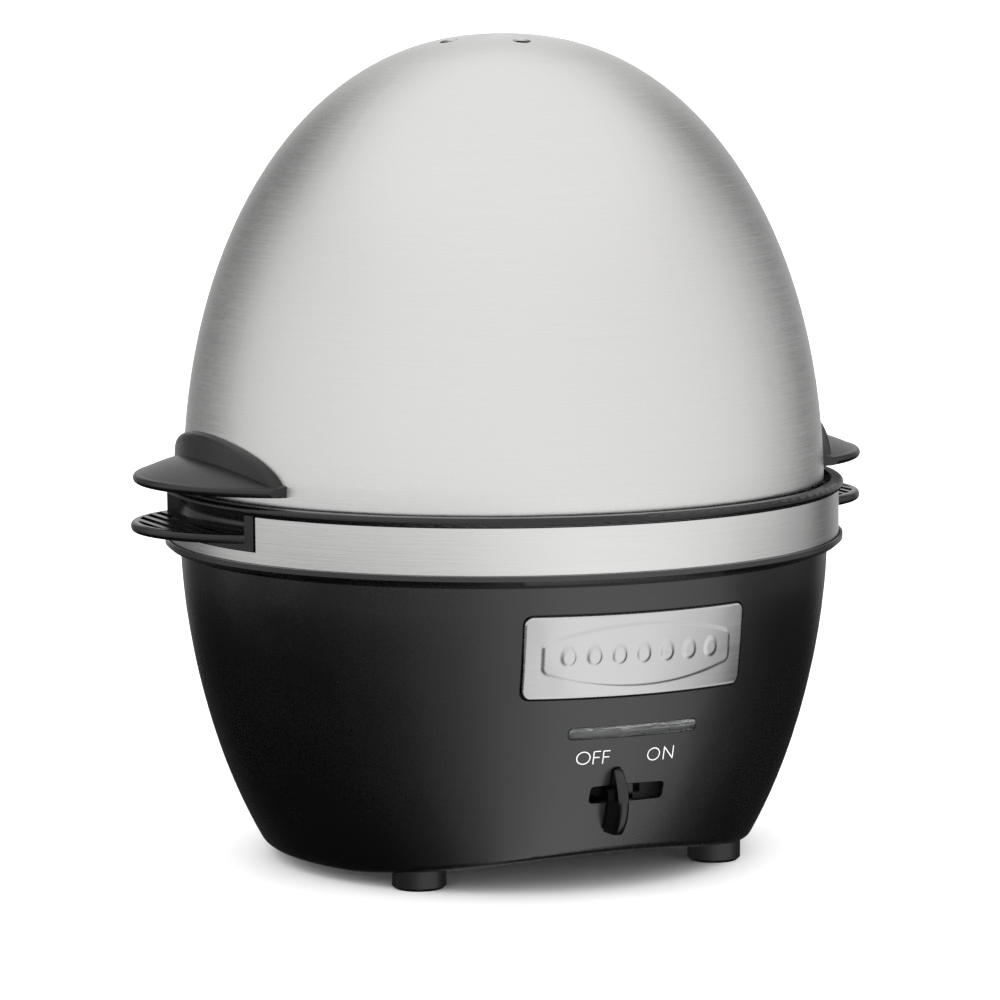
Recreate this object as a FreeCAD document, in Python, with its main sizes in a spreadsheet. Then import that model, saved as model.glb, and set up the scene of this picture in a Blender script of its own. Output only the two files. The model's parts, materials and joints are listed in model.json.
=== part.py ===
import FreeCAD, Part
import math
import os

import Sketcher
from FreeCAD import Vector

# Ten-egg cooker: a moulded base with a steel band and a heating plate, a lower egg rack
# with two finger tabs, an upper egg rack on legs, and a steel dome lid with two wings.
# Frame: origin at the middle of the footprint on the table, +Z up, front panel at -Y.

doc = FreeCAD.newDocument("egg_cooker")

# ----------------------------------------------------------------------------
# Driving dimensions, in millimetres and degrees
# ----------------------------------------------------------------------------
DIMENSIONS = [
    ("foot_pitch_x", 45.1, "foot centre from the middle, along X"),
    ("foot_pitch_y", 42.4, "foot centre from the middle, along Y"),
    ("foot_radius", 7.57, "rubber foot"),
    ("foot_height", 7.2, "rubber foot"),
    ("foot_chamfer", 0.8, "bottom edge of a foot"),
    ("foot_fit", 0.05, "round a foot in its seat"),
    ("skirt_bottom", 3.5, "lower edge of the housing beside the feet"),
    ("skirt_fillet", 4.0, "rounding of the lower edge of the housing"),
    ("arch_height", 7.5, "rise of the lower edge between two feet"),
    ("arch_reach", 60.0, "half width of an arch"),
    ("pad_radius", 12.5, "solid corner over each foot"),
    ("pad_top", 17.0, "top of the solid corner"),
    ("wall_thickness", 2.6, "housing wall"),
    ("wall_radius_foot", 69.0, "outer wall at the skirt"),
    ("wall_radius_low", 78.4, "outer wall"),
    ("wall_radius_mid", 85.8, "outer wall"),
    ("wall_radius_high", 90.25, "outer wall"),
    ("wall_radius_top", 91.75, "outer wall under the lip"),
    ("wall_level_low", 23.0, "height of wall_radius_low"),
    ("wall_level_mid", 46.3, "height of wall_radius_mid"),
    ("wall_level_high", 69.5, "height of wall_radius_high"),
    ("wall_level_top", 87.2, "height of wall_radius_top"),
    ("lip_radius", 96.1, "outside of the gutter round the band"),
    ("lip_bottom", 88.4, "underside of the gutter at its edge"),
    ("lip_top", 91.0, "top of the gutter's edge"),
    ("lip_thickness", 0.8, "gutter edge"),
    ("lip_bevel", 1.4, "lower edge of the gutter, inwards"),
    ("lip_bevel_rise", 1.2, "lower edge of the gutter, upwards"),
    ("deck_level", 89.0, "top of the housing deck"),
    ("deck_thickness", 2.2, "housing deck"),
    ("collar_radius", 94.1, "outside of the collar that centres the band"),
    ("collar_thickness", 1.2, "collar"),
    ("collar_top", 94.0, "collar"),
    ("plate_opening", 76.0, "radius of the deck opening over the heating plate"),
    ("plate_well_wall", 2.0, "cylinder under the deck opening"),
    ("shelf_radius", 62.0, "inner edge of the shelf that carries the heating plate"),
    ("shelf_top", 79.0, "shelf"),
    ("shelf_thickness", 2.0, "shelf"),
    ("band_radius", 95.0, "outside of the steel band"),
    ("band_thickness", 0.8, "steel band"),
    ("band_bottom", 89.3, "steel band"),
    ("band_top", 103.7, "steel band"),
    ("notch_bottom", 94.1, "lower edge of the two notches in the band"),
    ("notch_angle", 21.1, "half angle of a notch"),
    ("bowl_radius", 74.0, "inside of the heating bowl"),
    ("bowl_floor", 84.0, "top of the bowl's floor"),
    ("bowl_thickness", 1.2, "heating bowl sheet"),
    ("bowl_flange_radius", 80.0, "flange of the heating bowl"),
    ("bowl_draft", 2.5, "inward lean of the bowl's wall over its height"),
    ("seal_thickness", 1.0, "silicone ring under the flange"),
    ("seal_radius", 81.0, "outside of the silicone ring"),
    ("element_radius", 46.0, "pitch radius of the tubular heater"),
    ("element_tube", 3.2, "radius of the heater tube"),
    ("element_gap", 0.05, "between the heater and the bowl"),
    ("element_span", 320.0, "angle that the heater runs through"),
    ("tail_length", 12.0, "connection tails of the heater"),
    ("tail_radius", 1.6, "connection tails of the heater"),
    ("stud_pitch", 68.0, "radius of the studs under the bowl"),
    ("stud_radius", 2.0, "stud"),
    ("stud_length", 13.0, "stud"),
    ("stud_count", 3.0, "studs"),
    ("stud_clearance", 0.3, "hole in the shelf over the stud"),
    ("nut_flats", 7.0, "across the flats of a nut"),
    ("nut_height", 3.2, "nut"),
    ("thermostat_radius", 8.0, "thermostat"),
    ("thermostat_height", 9.0, "thermostat"),
    ("thermostat_ear", 12.5, "half length of its mounting strap"),
    ("fuse_radius", 2.2, "thermal fuse"),
    ("fuse_length", 16.0, "thermal fuse"),
    ("fuse_offset", 26.0, "thermal fuse from the middle, along Y"),
    ("cover_level", 12.2, "underside of the bottom cover"),
    ("cover_thickness", 1.8, "bottom cover"),
    ("cover_radius", 69.6, "bottom cover"),
    ("cover_notch", 13.0, "radius of the cut-outs round the corners over the feet"),
    ("boss_pitch", 62.0, "radius of the bosses for the cover screws"),
    ("boss_radius", 4.2, "boss"),
    ("boss_height", 7.5, "boss"),
    ("boss_turn", 22.0, "turn of the ring of bosses, in degrees, to clear the cord and the switch"),
    ("rib_thickness", 2.4, "rib from a boss to the wall"),
    ("screw_radius", 1.5, "thread of the small screws"),
    ("recess_clearance", 0.3, "round a screw head in its recess"),
    ("screw_clearance", 0.2, "round the screws where they only pass through"),
    ("screw_head", 2.9, "head radius of the small screws"),
    ("screw_head_height", 1.9, "head of the small screws"),
    ("cover_screw_length", 7.0, "cover screw under its head"),
    ("foot_screw_length", 9.0, "foot screw under its head"),
    ("foot_counterbore", 2.4, "depth of the recess for the foot screw's head"),
    ("plate_width", 64.4, "name plate"),
    ("plate_height", 22.5, "name plate"),
    ("plate_level", 68.2, "middle of the name plate"),
    ("plate_corner", 2.3, "corner radius of the name plate"),
    ("plate_proud", 0.6, "name plate over the wall"),
    ("plate_sink", 0.8, "name plate below the wall"),
    ("plate_gap", 0.6, "groove round the name plate"),
    ("panel_width", 56.0, "raised field of the name plate"),
    ("panel_end_height", 8.6, "raised field at its two ends"),
    ("panel_height", 17.8, "raised field in the middle"),
    ("panel_corner", 1.8, "corners of the raised field"),
    ("panel_proud", 0.4, "raised field over the name plate"),
    ("egg_mark_count", 7.0, "raised egg shapes on the name plate"),
    ("egg_mark_pitch", 7.0, "between the raised egg shapes"),
    ("egg_mark_width", 4.6, "raised egg shape"),
    ("egg_mark_height", 6.2, "raised egg shape"),
    ("egg_mark_proud", 0.35, "raised egg shape over the field"),
    ("lens_width", 38.0, "indicator lens"),
    ("lens_height", 3.2, "indicator lens"),
    ("lens_level", 46.8, "indicator lens"),
    ("lens_proud", 0.35, "indicator lens over the wall"),
    ("lens_gap", 0.15, "round the indicator lens"),
    ("slot_width", 22.0, "switch slot"),
    ("slot_height", 5.0, "switch slot"),
    ("slot_level", 28.9, "switch slot"),
    ("slot_corner", 1.2, "switch slot"),
    ("slot_bevel", 0.45, "bevel round the switch slot"),
    ("lever_travel", 8.0, "switch lever from OFF to ON"),
    ("lever_thickness", 3.2, "grip fin of the lever"),
    ("lever_top", 36.3, "grip fin"),
    ("lever_bottom", 18.1, "grip fin"),
    ("lever_crest", 87.6, "front of the grip fin from the middle"),
    ("stem_overlap", 1.0, "reach of the stem into the fin"),
    ("lever_rounding", 1.35, "rounding along its crest"),
    ("lever_gap", 0.5, "between the fin and the wall"),
    ("stem_width", 5.0, "stem of the lever in the slot"),
    ("stem_height", 3.2, "stem of the lever in the slot"),
    ("carriage_width", 18.0, "slider plate behind the wall"),
    ("carriage_height", 11.0, "slider plate"),
    ("carriage_front", 73.4, "front face of the slider plate from the middle"),
    ("carriage_thickness", 1.4, "slider plate"),
    ("drive_pin_width", 3.0, "pin that drives the switch"),
    ("drive_pin_length", 3.2, "pin that drives the switch"),
    ("switch_front", 71.6, "front face of the switch body from the middle"),
    ("switch_depth", 10.0, "switch body"),
    ("switch_width", 28.0, "switch body"),
    ("switch_height", 13.0, "switch body"),
    ("switch_pocket_depth", 4.2, "slot in the switch body"),
    ("switch_pocket_height", 3.6, "slot in the switch body"),
    ("ear_width", 44.0, "switch body across its ears"),
    ("ear_thickness", 2.0, "ears of the switch body"),
    ("ear_screw_pitch", 36.0, "distance between the two switch screws"),
    ("post_radius", 2.6, "posts behind the wall"),
    ("board_front", 75.6, "front face of the control board from the middle"),
    ("board_thickness", 1.6, "control board"),
    ("board_width", 40.0, "control board"),
    ("board_bottom", 42.0, "control board"),
    ("board_top", 62.0, "control board"),
    ("board_screw_pitch", 32.0, "distance between the two board screws"),
    ("board_screw_level", 58.0, "board screws"),
    ("led_radius", 2.5, "indicator lamp"),
    ("led_length", 6.0, "indicator lamp"),
    ("buzzer_radius", 6.0, "buzzer"),
    ("buzzer_height", 7.0, "buzzer"),
    ("buzzer_offset", 8.0, "buzzer from the middle, along X"),
    ("gland_level", 22.0, "cord gland"),
    ("gland_width", 16.0, "barrel of the gland through the wall"),
    ("gland_height", 12.0, "barrel of the gland through the wall"),
    ("gland_flange", 2.2, "flange of the gland round its barrel"),
    ("gland_outer", 84.0, "outer face of the gland from the middle"),
    ("gland_inner", 66.0, "inner face of the gland from the middle"),
    ("gland_shoulder", 81.3, "inner face of the gland's flange from the middle"),
    ("gland_bore", 3.4, "bore for the cord"),
    ("gland_fit", 0.1, "space round the gland's barrel"),
    ("terminal_width", 26.0, "terminal block"),
    ("terminal_depth", 12.0, "terminal block"),
    ("terminal_height", 11.0, "terminal block"),
    ("terminal_offset", 46.0, "terminal block from the middle, along Y"),
    ("rim_radius", 96.3, "outside of the rack's rim"),
    ("rim_top", 106.5, "rack rim"),
    ("rim_bottom", 104.0, "underside of the rack's rim"),
    ("rim_fillet", 1.1, "outer edges of the rim"),
    ("recess_radius", 92.9, "recess that the dome stands in"),
    ("recess_level", 104.5, "floor of the recess"),
    ("ring_inner", 89.0, "inside of the rack's wall"),
    ("ring_outer", 93.8, "outside of the rack's wall"),
    ("tray_top", 100.4, "lower egg tray"),
    ("tray_thickness", 2.0, "lower egg tray"),
    ("skirt_outer", 92.0, "rack skirt inside the collar"),
    ("skirt_inner", 90.4, "rack skirt inside the collar"),
    ("skirt_level", 92.0, "lower edge of the rack skirt"),
    ("egg_pitch", 54.0, "radius of the ring of six egg holes"),
    ("egg_hole", 19.5, "egg hole radius in the lower tray"),
    ("egg_lip", 1.6, "raised lip round an egg hole"),
    ("egg_lip_height", 1.2, "raised lip round an egg hole"),
    ("grip_angle", 20.8, "half angle of a handle panel of the rack"),
    ("grip_radius", 95.4, "outside of a handle panel"),
    ("grip_bottom", 94.4, "handle panel"),
    ("grip_bar_angle", 2.2, "width of the upright bar at each end of a niche"),
    ("niche_roof", 105.2, "top of the finger niche"),
    ("niche_depth_radius", 91.6, "deepest part of the niche"),
    ("tab_centre", 76.0, "centre of the tab's edge from the middle"),
    ("tab_edge_radius", 34.0, "radius of the tab's edge"),
    ("tab_bottom", 96.2, "finger tab"),
    ("tab_thickness", 2.7, "finger tab"),
    ("tab_fillet", 1.1, "finger tab"),
    ("tab_groove_first", 95.0, "innermost grip groove from the middle"),
    ("tab_groove_pitch", 4.0, "between grip grooves"),
    ("tab_groove_width", 2.3, "grip groove"),
    ("tab_groove_depth", 0.9, "grip groove"),
    ("tab_groove_count", 4.0, "grip grooves"),
    ("tab_border", 2.2, "plain border round the grip grooves"),
    ("upper_radius", 60.0, "upper egg tray"),
    ("upper_level", 156.0, "underside of the upper egg tray"),
    ("upper_thickness", 2.2, "upper egg tray"),
    ("upper_rim_height", 5.0, "turned-up rim of the upper tray"),
    ("upper_rim_thickness", 1.8, "turned-up rim of the upper tray"),
    ("upper_pitch", 31.0, "radius of the three upper egg holes"),
    ("upper_hole", 19.5, "upper egg hole radius"),
    ("upper_finger_hole", 6.0, "hole in the middle of the upper tray"),
    ("leg_pitch", 49.5, "radius of the legs of the upper tray"),
    ("leg_radius", 3.0, "leg"),
    ("leg_foot_radius", 3.6, "foot of a leg"),
    ("leg_foot_height", 2.5, "foot of a leg"),
    ("leg_gap", 0.3, "under the legs"),
    ("dome_radius", 90.744, "outside of the dome at its edge"),
    ("dome_base", 103.84, "height where the dome's curve starts"),
    ("dome_edge", 104.8, "lower edge of the dome"),
    ("dome_top", 231.9, "top of the dome"),
    ("dome_rise_power", 2.044, "fullness of the dome's curve, height"),
    ("dome_girth_power", 2.193, "fullness of the dome's curve, radius"),
    ("dome_thickness", 0.6, "dome sheet"),
    ("vent_pitch", 18.0, "radius of the ring of steam vents"),
    ("vent_radius", 2.5, "steam vent"),
    ("vent_count", 5.0, "steam vents"),
    ("vent_angle", 49.2, "turn of the ring of vents"),
    ("wing_centre", 62.0, "centre of the wing's edge from the middle"),
    ("wing_edge_radius", 46.5, "radius of the wing's edge"),
    ("wing_half_width", 39.6, "half width at which the wing's blade ends"),
    ("wing_bottom", 109.2, "underside of a wing"),
    ("wing_edge", 2.6, "thickness at the wing's edge"),
    ("wing_root_top", 116.4, "top of the wing's curve near the dome"),
    ("wing_root_radius", 31.0, "where the wing's curve starts"),
    ("cut_margin", 4.0, "how far helper solids reach past the piece that they trim"),
    ("wing_flare_power", 1.3, "how quickly the wing's top falls away from the dome"),
    ("leaf_half_width", 39.3, "backing leaf of a wing"),
    ("leaf_bottom", 109.2, "backing leaf"),
    ("leaf_top", 123.5, "backing leaf"),
    ("leaf_thickness", 2.6, "backing leaf over the dome"),
    ("leaf_gap", 0.05, "between the leaf and the dome"),
    ("leaf_fillet", 1.9, "upper edge of the leaf"),
    ("wing_screw_spread", 10.0, "wing screws from the middle of the wing"),
    ("wing_screw_level", 112.4, "wing screws"),
    ("wing_screw_length", 6.0, "wing screw under its head"),
]

sheet = doc.addObject("Spreadsheet::Sheet", "dims")
for row, (alias, size, note) in enumerate(DIMENSIONS, start=1):
    sheet.set("A%d" % row, alias)
    sheet.set("B%d" % row, str(size))
    sheet.setAlias("B%d" % row, alias)
    sheet.set("C%d" % row, note)
doc.recompute()

Z_AXIS = Vector(0, 0, 1)
ORIGIN = Vector(0, 0, 0)
CORNERS = [(1, 1), (-1, 1), (-1, -1), (1, -1)]
NODES = []


def size(alias):
    """Value of one cell of the sheet."""
    return float(sheet.get(alias))


# ----------------------------------------------------------------------------
# PartDesign helpers
# ----------------------------------------------------------------------------
def new_body(label):
    body = doc.addObject("PartDesign::Body", label)
    body.Label = label
    NODES.append(body)
    return body


def new_sketch(body, role, name, offset=None):
    """Sketch on one of the body's own origin planes, moved along its normal by an expression."""
    sketch = body.newObject("Sketcher::SketchObject", name)
    plane = [feature for feature in body.Origin.OriginFeatures if feature.Role == role][0]
    sketch.AttachmentSupport = [(plane, "")]
    sketch.MapMode = "FlatFace"
    if offset is not None:
        sketch.setExpression("AttachmentOffset.Base.z", offset)
    return sketch


def drive(sketch, kind, geometry, point, expression):
    """Tie one coordinate of a sketch point to an expression."""
    level = float(sketch.evalExpression(expression))
    if abs(level) < 1e-9:
        axis = -2 if kind == "DistanceX" else -1
        sketch.addConstraint(Sketcher.Constraint("PointOnObject", geometry, point, axis))
        return
    index = sketch.addConstraint(Sketcher.Constraint(kind, -1, 1, geometry, point, level))
    sketch.setExpression("Constraints[%d]" % index, expression)


def add_outline(sketch, corners):
    """Closed outline of straight lines; each corner is a pair of expressions."""
    places = [
        Vector(float(sketch.evalExpression(across)), float(sketch.evalExpression(up)), 0)
        for across, up in corners
    ]
    first = sketch.GeometryCount
    total = len(places)
    for index in range(total):
        sketch.addGeometry(Part.LineSegment(places[index], places[(index + 1) % total]))
    for index in range(total):
        following = first + (index + 1) % total
        sketch.addConstraint(Sketcher.Constraint("Coincident", first + index, 2, following, 1))
    for index, (across, up) in enumerate(corners):
        drive(sketch, "DistanceX", first + index, 1, across)
        drive(sketch, "DistanceY", first + index, 1, up)


def add_circle(sketch, across, up, radius):
    centre = Vector(float(sketch.evalExpression(across)), float(sketch.evalExpression(up)), 0)
    girth = float(sketch.evalExpression(radius))
    index = sketch.addGeometry(Part.Circle(centre, Z_AXIS, girth))
    drive(sketch, "DistanceX", index, 3, across)
    drive(sketch, "DistanceY", index, 3, up)
    constraint = sketch.addConstraint(Sketcher.Constraint("Radius", index, girth))
    sketch.setExpression("Constraints[%d]" % constraint, radius)


def add_box(sketch, left, bottom, right, top):
    add_outline(sketch, [(left, bottom), (right, bottom), (right, top), (left, top)])


def revolve(body, corners, name):
    """Full turn of an outline in the XZ plane about Z."""
    sketch = new_sketch(body, "XZ_Plane", name + "_profile")
    add_outline(sketch, corners)
    feature = body.newObject("PartDesign::Revolution", name)
    feature.Profile = sketch
    feature.ReferenceAxis = (sketch, ["V_Axis"])
    feature.Angle = 360.0
    return feature


def pad(body, sketch, length, name, symmetric=False):
    feature = body.newObject("PartDesign::Pad", name)
    feature.Profile = sketch
    feature.Midplane = symmetric
    feature.setExpression("Length", length)
    return feature


def pocket(body, sketch, length, name, symmetric=False, reverse=False):
    """Cut, with a check that it does remove material."""
    doc.recompute()
    before = body.Shape.Volume
    feature = body.newObject("PartDesign::Pocket", name)
    feature.Profile = sketch
    feature.Midplane = symmetric
    feature.Reversed = reverse
    feature.setExpression("Length", length)
    doc.recompute()
    if body.Shape.Volume > before - 1e-6:
        raise RuntimeError(name + " removed nothing")
    return feature


def polar(body, features, count, name):
    pattern = body.newObject("PartDesign::PolarPattern", name)
    pattern.Originals = features
    axis = [item for item in body.Origin.OriginFeatures if item.Role == "Z_Axis"][0]
    pattern.Axis = (axis, [""])
    pattern.Angle = 360.0
    pattern.setExpression("Occurrences", count)
    body.Tip = pattern
    return pattern


def new_feature(label, shape):
    """Sub-part whose shape is worked out directly from the sheet."""
    feature = doc.addObject("Part::Feature", label)
    feature.Label = label
    feature.Shape = shape
    feature.Placement = FreeCAD.Placement()
    NODES.append(feature)
    return feature


# ----------------------------------------------------------------------------
# Shape helpers for the free-form pieces
# ----------------------------------------------------------------------------
def turn(edges, start=0.0, span=360.0):
    """Solid from a closed chain of edges in the XZ plane, turned about Z from angle start."""
    face = Part.Face(Part.Wire(Part.__sortEdges__(edges)))
    solid = face.revolve(ORIGIN, Z_AXIS, span)
    solid.rotate(ORIGIN, Z_AXIS, start)
    if solid.Volume < 0:
        solid.reverse()
    return solid


def segments(points):
    """Straight edges through (radius, height) points, not closed."""
    places = [Vector(radius, 0, height) for radius, height in points]
    return [Part.LineSegment(a, b).toShape() for a, b in zip(places, places[1:])]


def curve(points):
    """Smooth edge through (radius, height) points."""
    spline = Part.BSplineCurve()
    spline.interpolate([Vector(radius, 0, height) for radius, height in points])
    return spline.toShape()


def turned_outline(points, start=0.0, span=360.0):
    return turn(segments(points + points[:1]), start, span)


def subtract(solid, tools):
    """Cut tools one after another, because some of them cross each other."""
    for tool in tools:
        solid = solid.cut(tool)
    return solid.removeSplitter()


def unite(solid, tools):
    for tool in tools:
        solid = solid.fuse(tool)
    return solid.removeSplitter()


def cylinder(radius, height, base, direction=Z_AXIS):
    return Part.makeCylinder(radius, height, base, direction)


def centred_box(width, depth, height, centre):
    corner = centre - Vector(width / 2, depth / 2, height / 2)
    return Part.makeBox(width, depth, height, corner)


def rounded_prism(width, height, corner, level, near, far):
    """Bar along Y with a rounded rectangular section in XZ, from y = -far to y = -near."""
    bar = centred_box(width, far - near, height, Vector(0, -(near + far) / 2, level))
    edges = [edge for edge in bar.Edges if abs(edge.tangentAt(edge.FirstParameter).y) > 0.9]
    return bar.makeFillet(corner, edges)


# ----------------------------------------------------------------------------
# Housing wall: one smooth curve of radius against height
# ----------------------------------------------------------------------------
WALL_STATIONS = [
    (size("wall_radius_foot"), size("skirt_bottom")),
    (size("wall_radius_low"), size("wall_level_low")),
    (size("wall_radius_mid"), size("wall_level_mid")),
    (size("wall_radius_high"), size("wall_level_high")),
    (size("wall_radius_top"), size("wall_level_top")),
]
wall_curve = Part.BSplineCurve()
wall_curve.interpolate([Vector(radius, 0, height) for radius, height in WALL_STATIONS])
WALL_SAMPLES = 14
ARCH_STEPS = 10
EGG_STEPS = 8
WING_STEPS = 8


def wall_radius(height):
    """Outside radius of the housing at a height, by halving the curve's parameter range."""
    low, high = wall_curve.FirstParameter, wall_curve.LastParameter
    for _ in range(50):
        middle = (low + high) / 2
        if wall_curve.value(middle).z < height:
            low = middle
        else:
            high = middle
    return wall_curve.value((low + high) / 2).x


def wall_points(offset, bottom, top):
    """Points along the wall, moved outwards by offset, from bottom to top."""
    step = (top - bottom) / WALL_SAMPLES
    heights = [bottom + step * index for index in range(WALL_SAMPLES + 1)]
    return [(wall_radius(height) + offset, height) for height in heights]


def wall_ring(inward, outward, bottom, top):
    """Ring that follows the wall from `inward` inside it to `outward` outside it."""
    inner = wall_points(-inward, bottom, top)
    outer = wall_points(outward, bottom, top)
    edges = [curve(inner), curve(outer)]
    edges += segments([inner[0], outer[0]]) + segments([inner[-1], outer[-1]])
    return turn(edges)


def dome_points(offset, lowest):
    """Points on the dome, moved along the normal by offset, from its edge to its top."""
    rise = size("dome_top") - size("dome_base")
    rise_power = size("dome_rise_power")
    girth_power = size("dome_girth_power")
    start = (lowest - size("dome_base")) / rise
    points = []
    steps = 36
    for index in range(steps + 1):
        share = start + (1 - start) * math.sin(index / steps * math.pi / 2)
        fall = 1 - max(share, 0.0) ** rise_power
        girth = max(fall, 0.0) ** (1 / girth_power)
        points.append((size("dome_radius") * girth, size("dome_base") + rise * share))
    moved = []
    for index, (radius, height) in enumerate(points):
        if index == steps:
            moved.append((0.0, height + offset))
            continue
        before = points[max(index - 1, 0)]
        after = points[index + 1]
        run, climb = after[0] - before[0], after[1] - before[1]
        length = math.hypot(run, climb)
        moved.append((radius + offset * climb / length, height - offset * run / length))
    return moved


def dome_solid(offset, lowest):
    """Solid bounded by the dome's curve, moved along the normal by offset."""
    points = dome_points(offset, lowest)
    base_height = points[0][1]
    edges = [curve(points)]
    edges += segments([points[0], (0.0, base_height)])
    edges += segments([(0.0, base_height), points[-1]])
    return turn(edges)


# ----------------------------------------------------------------------------
# Base housing
# ----------------------------------------------------------------------------
def foot_places(level):
    """Centres of the four feet at a height."""
    return [Vector(side_x * size("foot_pitch_x"), side_y * size("foot_pitch_y"), level)
            for side_x, side_y in CORNERS]


def make_housing():
    bottom = size("skirt_bottom")
    top = size("wall_level_top")
    deck = size("deck_level")
    thickness = size("wall_thickness")
    collar_inside = size("collar_radius") - size("collar_thickness")
    lip_inside = size("lip_radius") - size("lip_thickness")

    outline = segments([
        (size("wall_radius_top"), top),
        (size("lip_radius") - size("lip_bevel"), size("lip_bottom")),
        (size("lip_radius"), size("lip_bottom") + size("lip_bevel_rise")),
        (size("lip_radius"), size("lip_top")),
        (lip_inside, size("lip_top")),
        (lip_inside, deck),
        (size("collar_radius"), deck),
        (size("collar_radius"), size("collar_top")),
        (collar_inside, size("collar_top")),
        (collar_inside, deck),
        (0.0, deck),
        (0.0, bottom),
        (size("wall_radius_foot"), bottom),
    ])
    outer = turn([wall_curve.toShape()] + outline)

    # Arch in the lower edge at the front and at the back: it leaves the edge smoothly
    reach = size("arch_reach")
    crest = size("arch_height")
    length = 2 * size("lip_radius")
    wave = []
    for index in range(2 * ARCH_STEPS + 1):
        share = index / ARCH_STEPS - 1
        wave.append(Vector(reach * share, -length / 2, bottom + crest * (1 - share ** 2) ** 1.5))
    wave_curve = Part.BSplineCurve()
    wave_curve.interpolate(Points=wave, InitialTangent=Vector(1, 0, 0), FinalTangent=Vector(1, 0, 0))
    low_left = wave[0] - Vector(0, 0, bottom)
    low_right = wave[-1] - Vector(0, 0, bottom)
    border = [
        wave_curve.toShape(),
        Part.LineSegment(wave[-1], low_right).toShape(),
        Part.LineSegment(low_right, low_left).toShape(),
        Part.LineSegment(low_left, wave[0]).toShape(),
    ]
    arch = Part.Face(Part.Wire(border)).extrude(Vector(0, length, 0))
    arched = subtract(outer, [arch])
    rim = [edge for edge in arched.Edges if on_wall_edge(edge, bottom + crest)]
    arched = arched.makeFillet(size("skirt_fillet"), rim)

    # Room inside, the well of the heating bowl and the shelf that carries it
    well = size("plate_opening") + size("plate_well_wall")
    under_deck = deck - size("deck_thickness")
    shelf_top = size("shelf_top")
    shelf_under = shelf_top - size("shelf_thickness")
    inner = wall_points(-thickness, bottom, under_deck)
    cavity_edges = [curve(inner)]
    cavity_edges += segments([
        inner[-1],
        (well, under_deck),
        (well, shelf_under),
        (size("shelf_radius"), shelf_under),
        (size("shelf_radius"), shelf_top),
        (size("plate_opening"), shelf_top),
        (size("plate_opening"), deck + 1),
        (0.0, deck + 1),
        (0.0, bottom - 1),
        (inner[0][0], bottom - 1),
        inner[0],
    ])
    housing = subtract(arched, [turn(cavity_edges)])

    # Solid corners over the feet, screw bosses, posts for the board and the switch
    envelope = arched
    additions = []
    for centre in foot_places(bottom):
        corner = cylinder(size("pad_radius"), size("pad_top") - bottom, centre)
        additions.append(corner.common(envelope))
    boss_base = size("cover_level") + size("cover_thickness")
    for turn_index in range(4):
        angle = size("boss_turn") + 90.0 * turn_index
        boss = cylinder(size("boss_radius"), size("boss_height"),
                        Vector(size("boss_pitch"), 0, boss_base))
        rib = Part.makeBox(size("wall_radius_mid") - size("boss_pitch"), size("rib_thickness"),
                           size("boss_height"),
                           Vector(size("boss_pitch"), -size("rib_thickness") / 2, boss_base))
        support = boss.fuse(rib).common(envelope)
        support.rotate(ORIGIN, Z_AXIS, angle)
        additions.append(support)
    post_reach = size("lip_radius")
    for side in (-1, 1):
        for spread, level, start in (
            (size("ear_screw_pitch") / 2, size("slot_level"),
             size("switch_front") - size("switch_depth") / 2 + size("ear_thickness")),
            (size("board_screw_pitch") / 2, size("board_screw_level"), size("board_front")),
        ):
            post = cylinder(size("post_radius"), post_reach - start,
                            Vector(side * spread, -start, level), Vector(0, -1, 0))
            additions.append(post.common(envelope))
    housing = unite(housing, additions)

    # Openings
    cuts = []
    for place in foot_places(0.0):
        cuts.append(cylinder(size("foot_radius") + size("foot_fit"), size("foot_height"), place))
        cuts.append(cylinder(size("screw_radius"), size("pad_top") + 1, place))
    for turn_index in range(4):
        hole = cylinder(size("screw_radius"), size("cover_screw_length"),
                        Vector(size("boss_pitch"), 0, boss_base - 0.5))
        hole.rotate(ORIGIN, Z_AXIS, size("boss_turn") + 90.0 * turn_index)
        cuts.append(hole)
    for index in range(int(size("stud_count"))):
        hole = cylinder(size("stud_radius") + size("stud_clearance"),
                        3 * size("shelf_thickness"),
                        Vector(size("stud_pitch"), 0, shelf_under - size("shelf_thickness")))
        hole.rotate(ORIGIN, Z_AXIS, 360.0 / size("stud_count") * index + 90.0)
        cuts.append(hole)
    plate_cut = rounded_prism(size("plate_width") + 2 * size("plate_gap"),
                              size("plate_height") + 2 * size("plate_gap"),
                              size("plate_corner") + size("plate_gap"),
                              size("plate_level"), size("board_front"), post_reach)
    plate_ring = wall_ring(size("plate_sink") + size("plate_gap"), 2.0,
                           size("plate_level") - size("plate_height"), top - 0.5)
    cuts.append(plate_cut.common(plate_ring))
    cuts.append(rounded_prism(size("lens_width") + 2 * size("lens_gap"),
                              size("lens_height") + 2 * size("lens_gap"),
                              size("lens_height") / 2 - size("lens_gap"),
                              size("lens_level"), size("board_front") + 1, post_reach))
    cuts.append(rounded_prism(size("slot_width"), size("slot_height"), size("slot_corner"),
                              size("slot_level"), size("carriage_front") - 1, post_reach))
    cuts.append(slot_bevel())
    for side in (-1, 1):
        for spread, level, start in (
            (size("ear_screw_pitch") / 2, size("slot_level"), size("switch_front") - 6),
            (size("board_screw_pitch") / 2, size("board_screw_level"), size("board_front") - 2),
        ):
            hole_end = math.sqrt((wall_radius(level) - thickness) ** 2 - spread ** 2) - 1.0
            cuts.append(cylinder(size("screw_radius"), hole_end - start,
                                 Vector(side * spread, -start, level), Vector(0, -1, 0)))
    gland = centred_box(size("gland_width"), size("gland_outer") - size("gland_inner"),
                        size("gland_height"),
                        Vector(0, (size("gland_outer") + size("gland_inner")) / 2,
                               size("gland_level")))
    cuts.append(gland)
    return subtract(housing, cuts)


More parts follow.
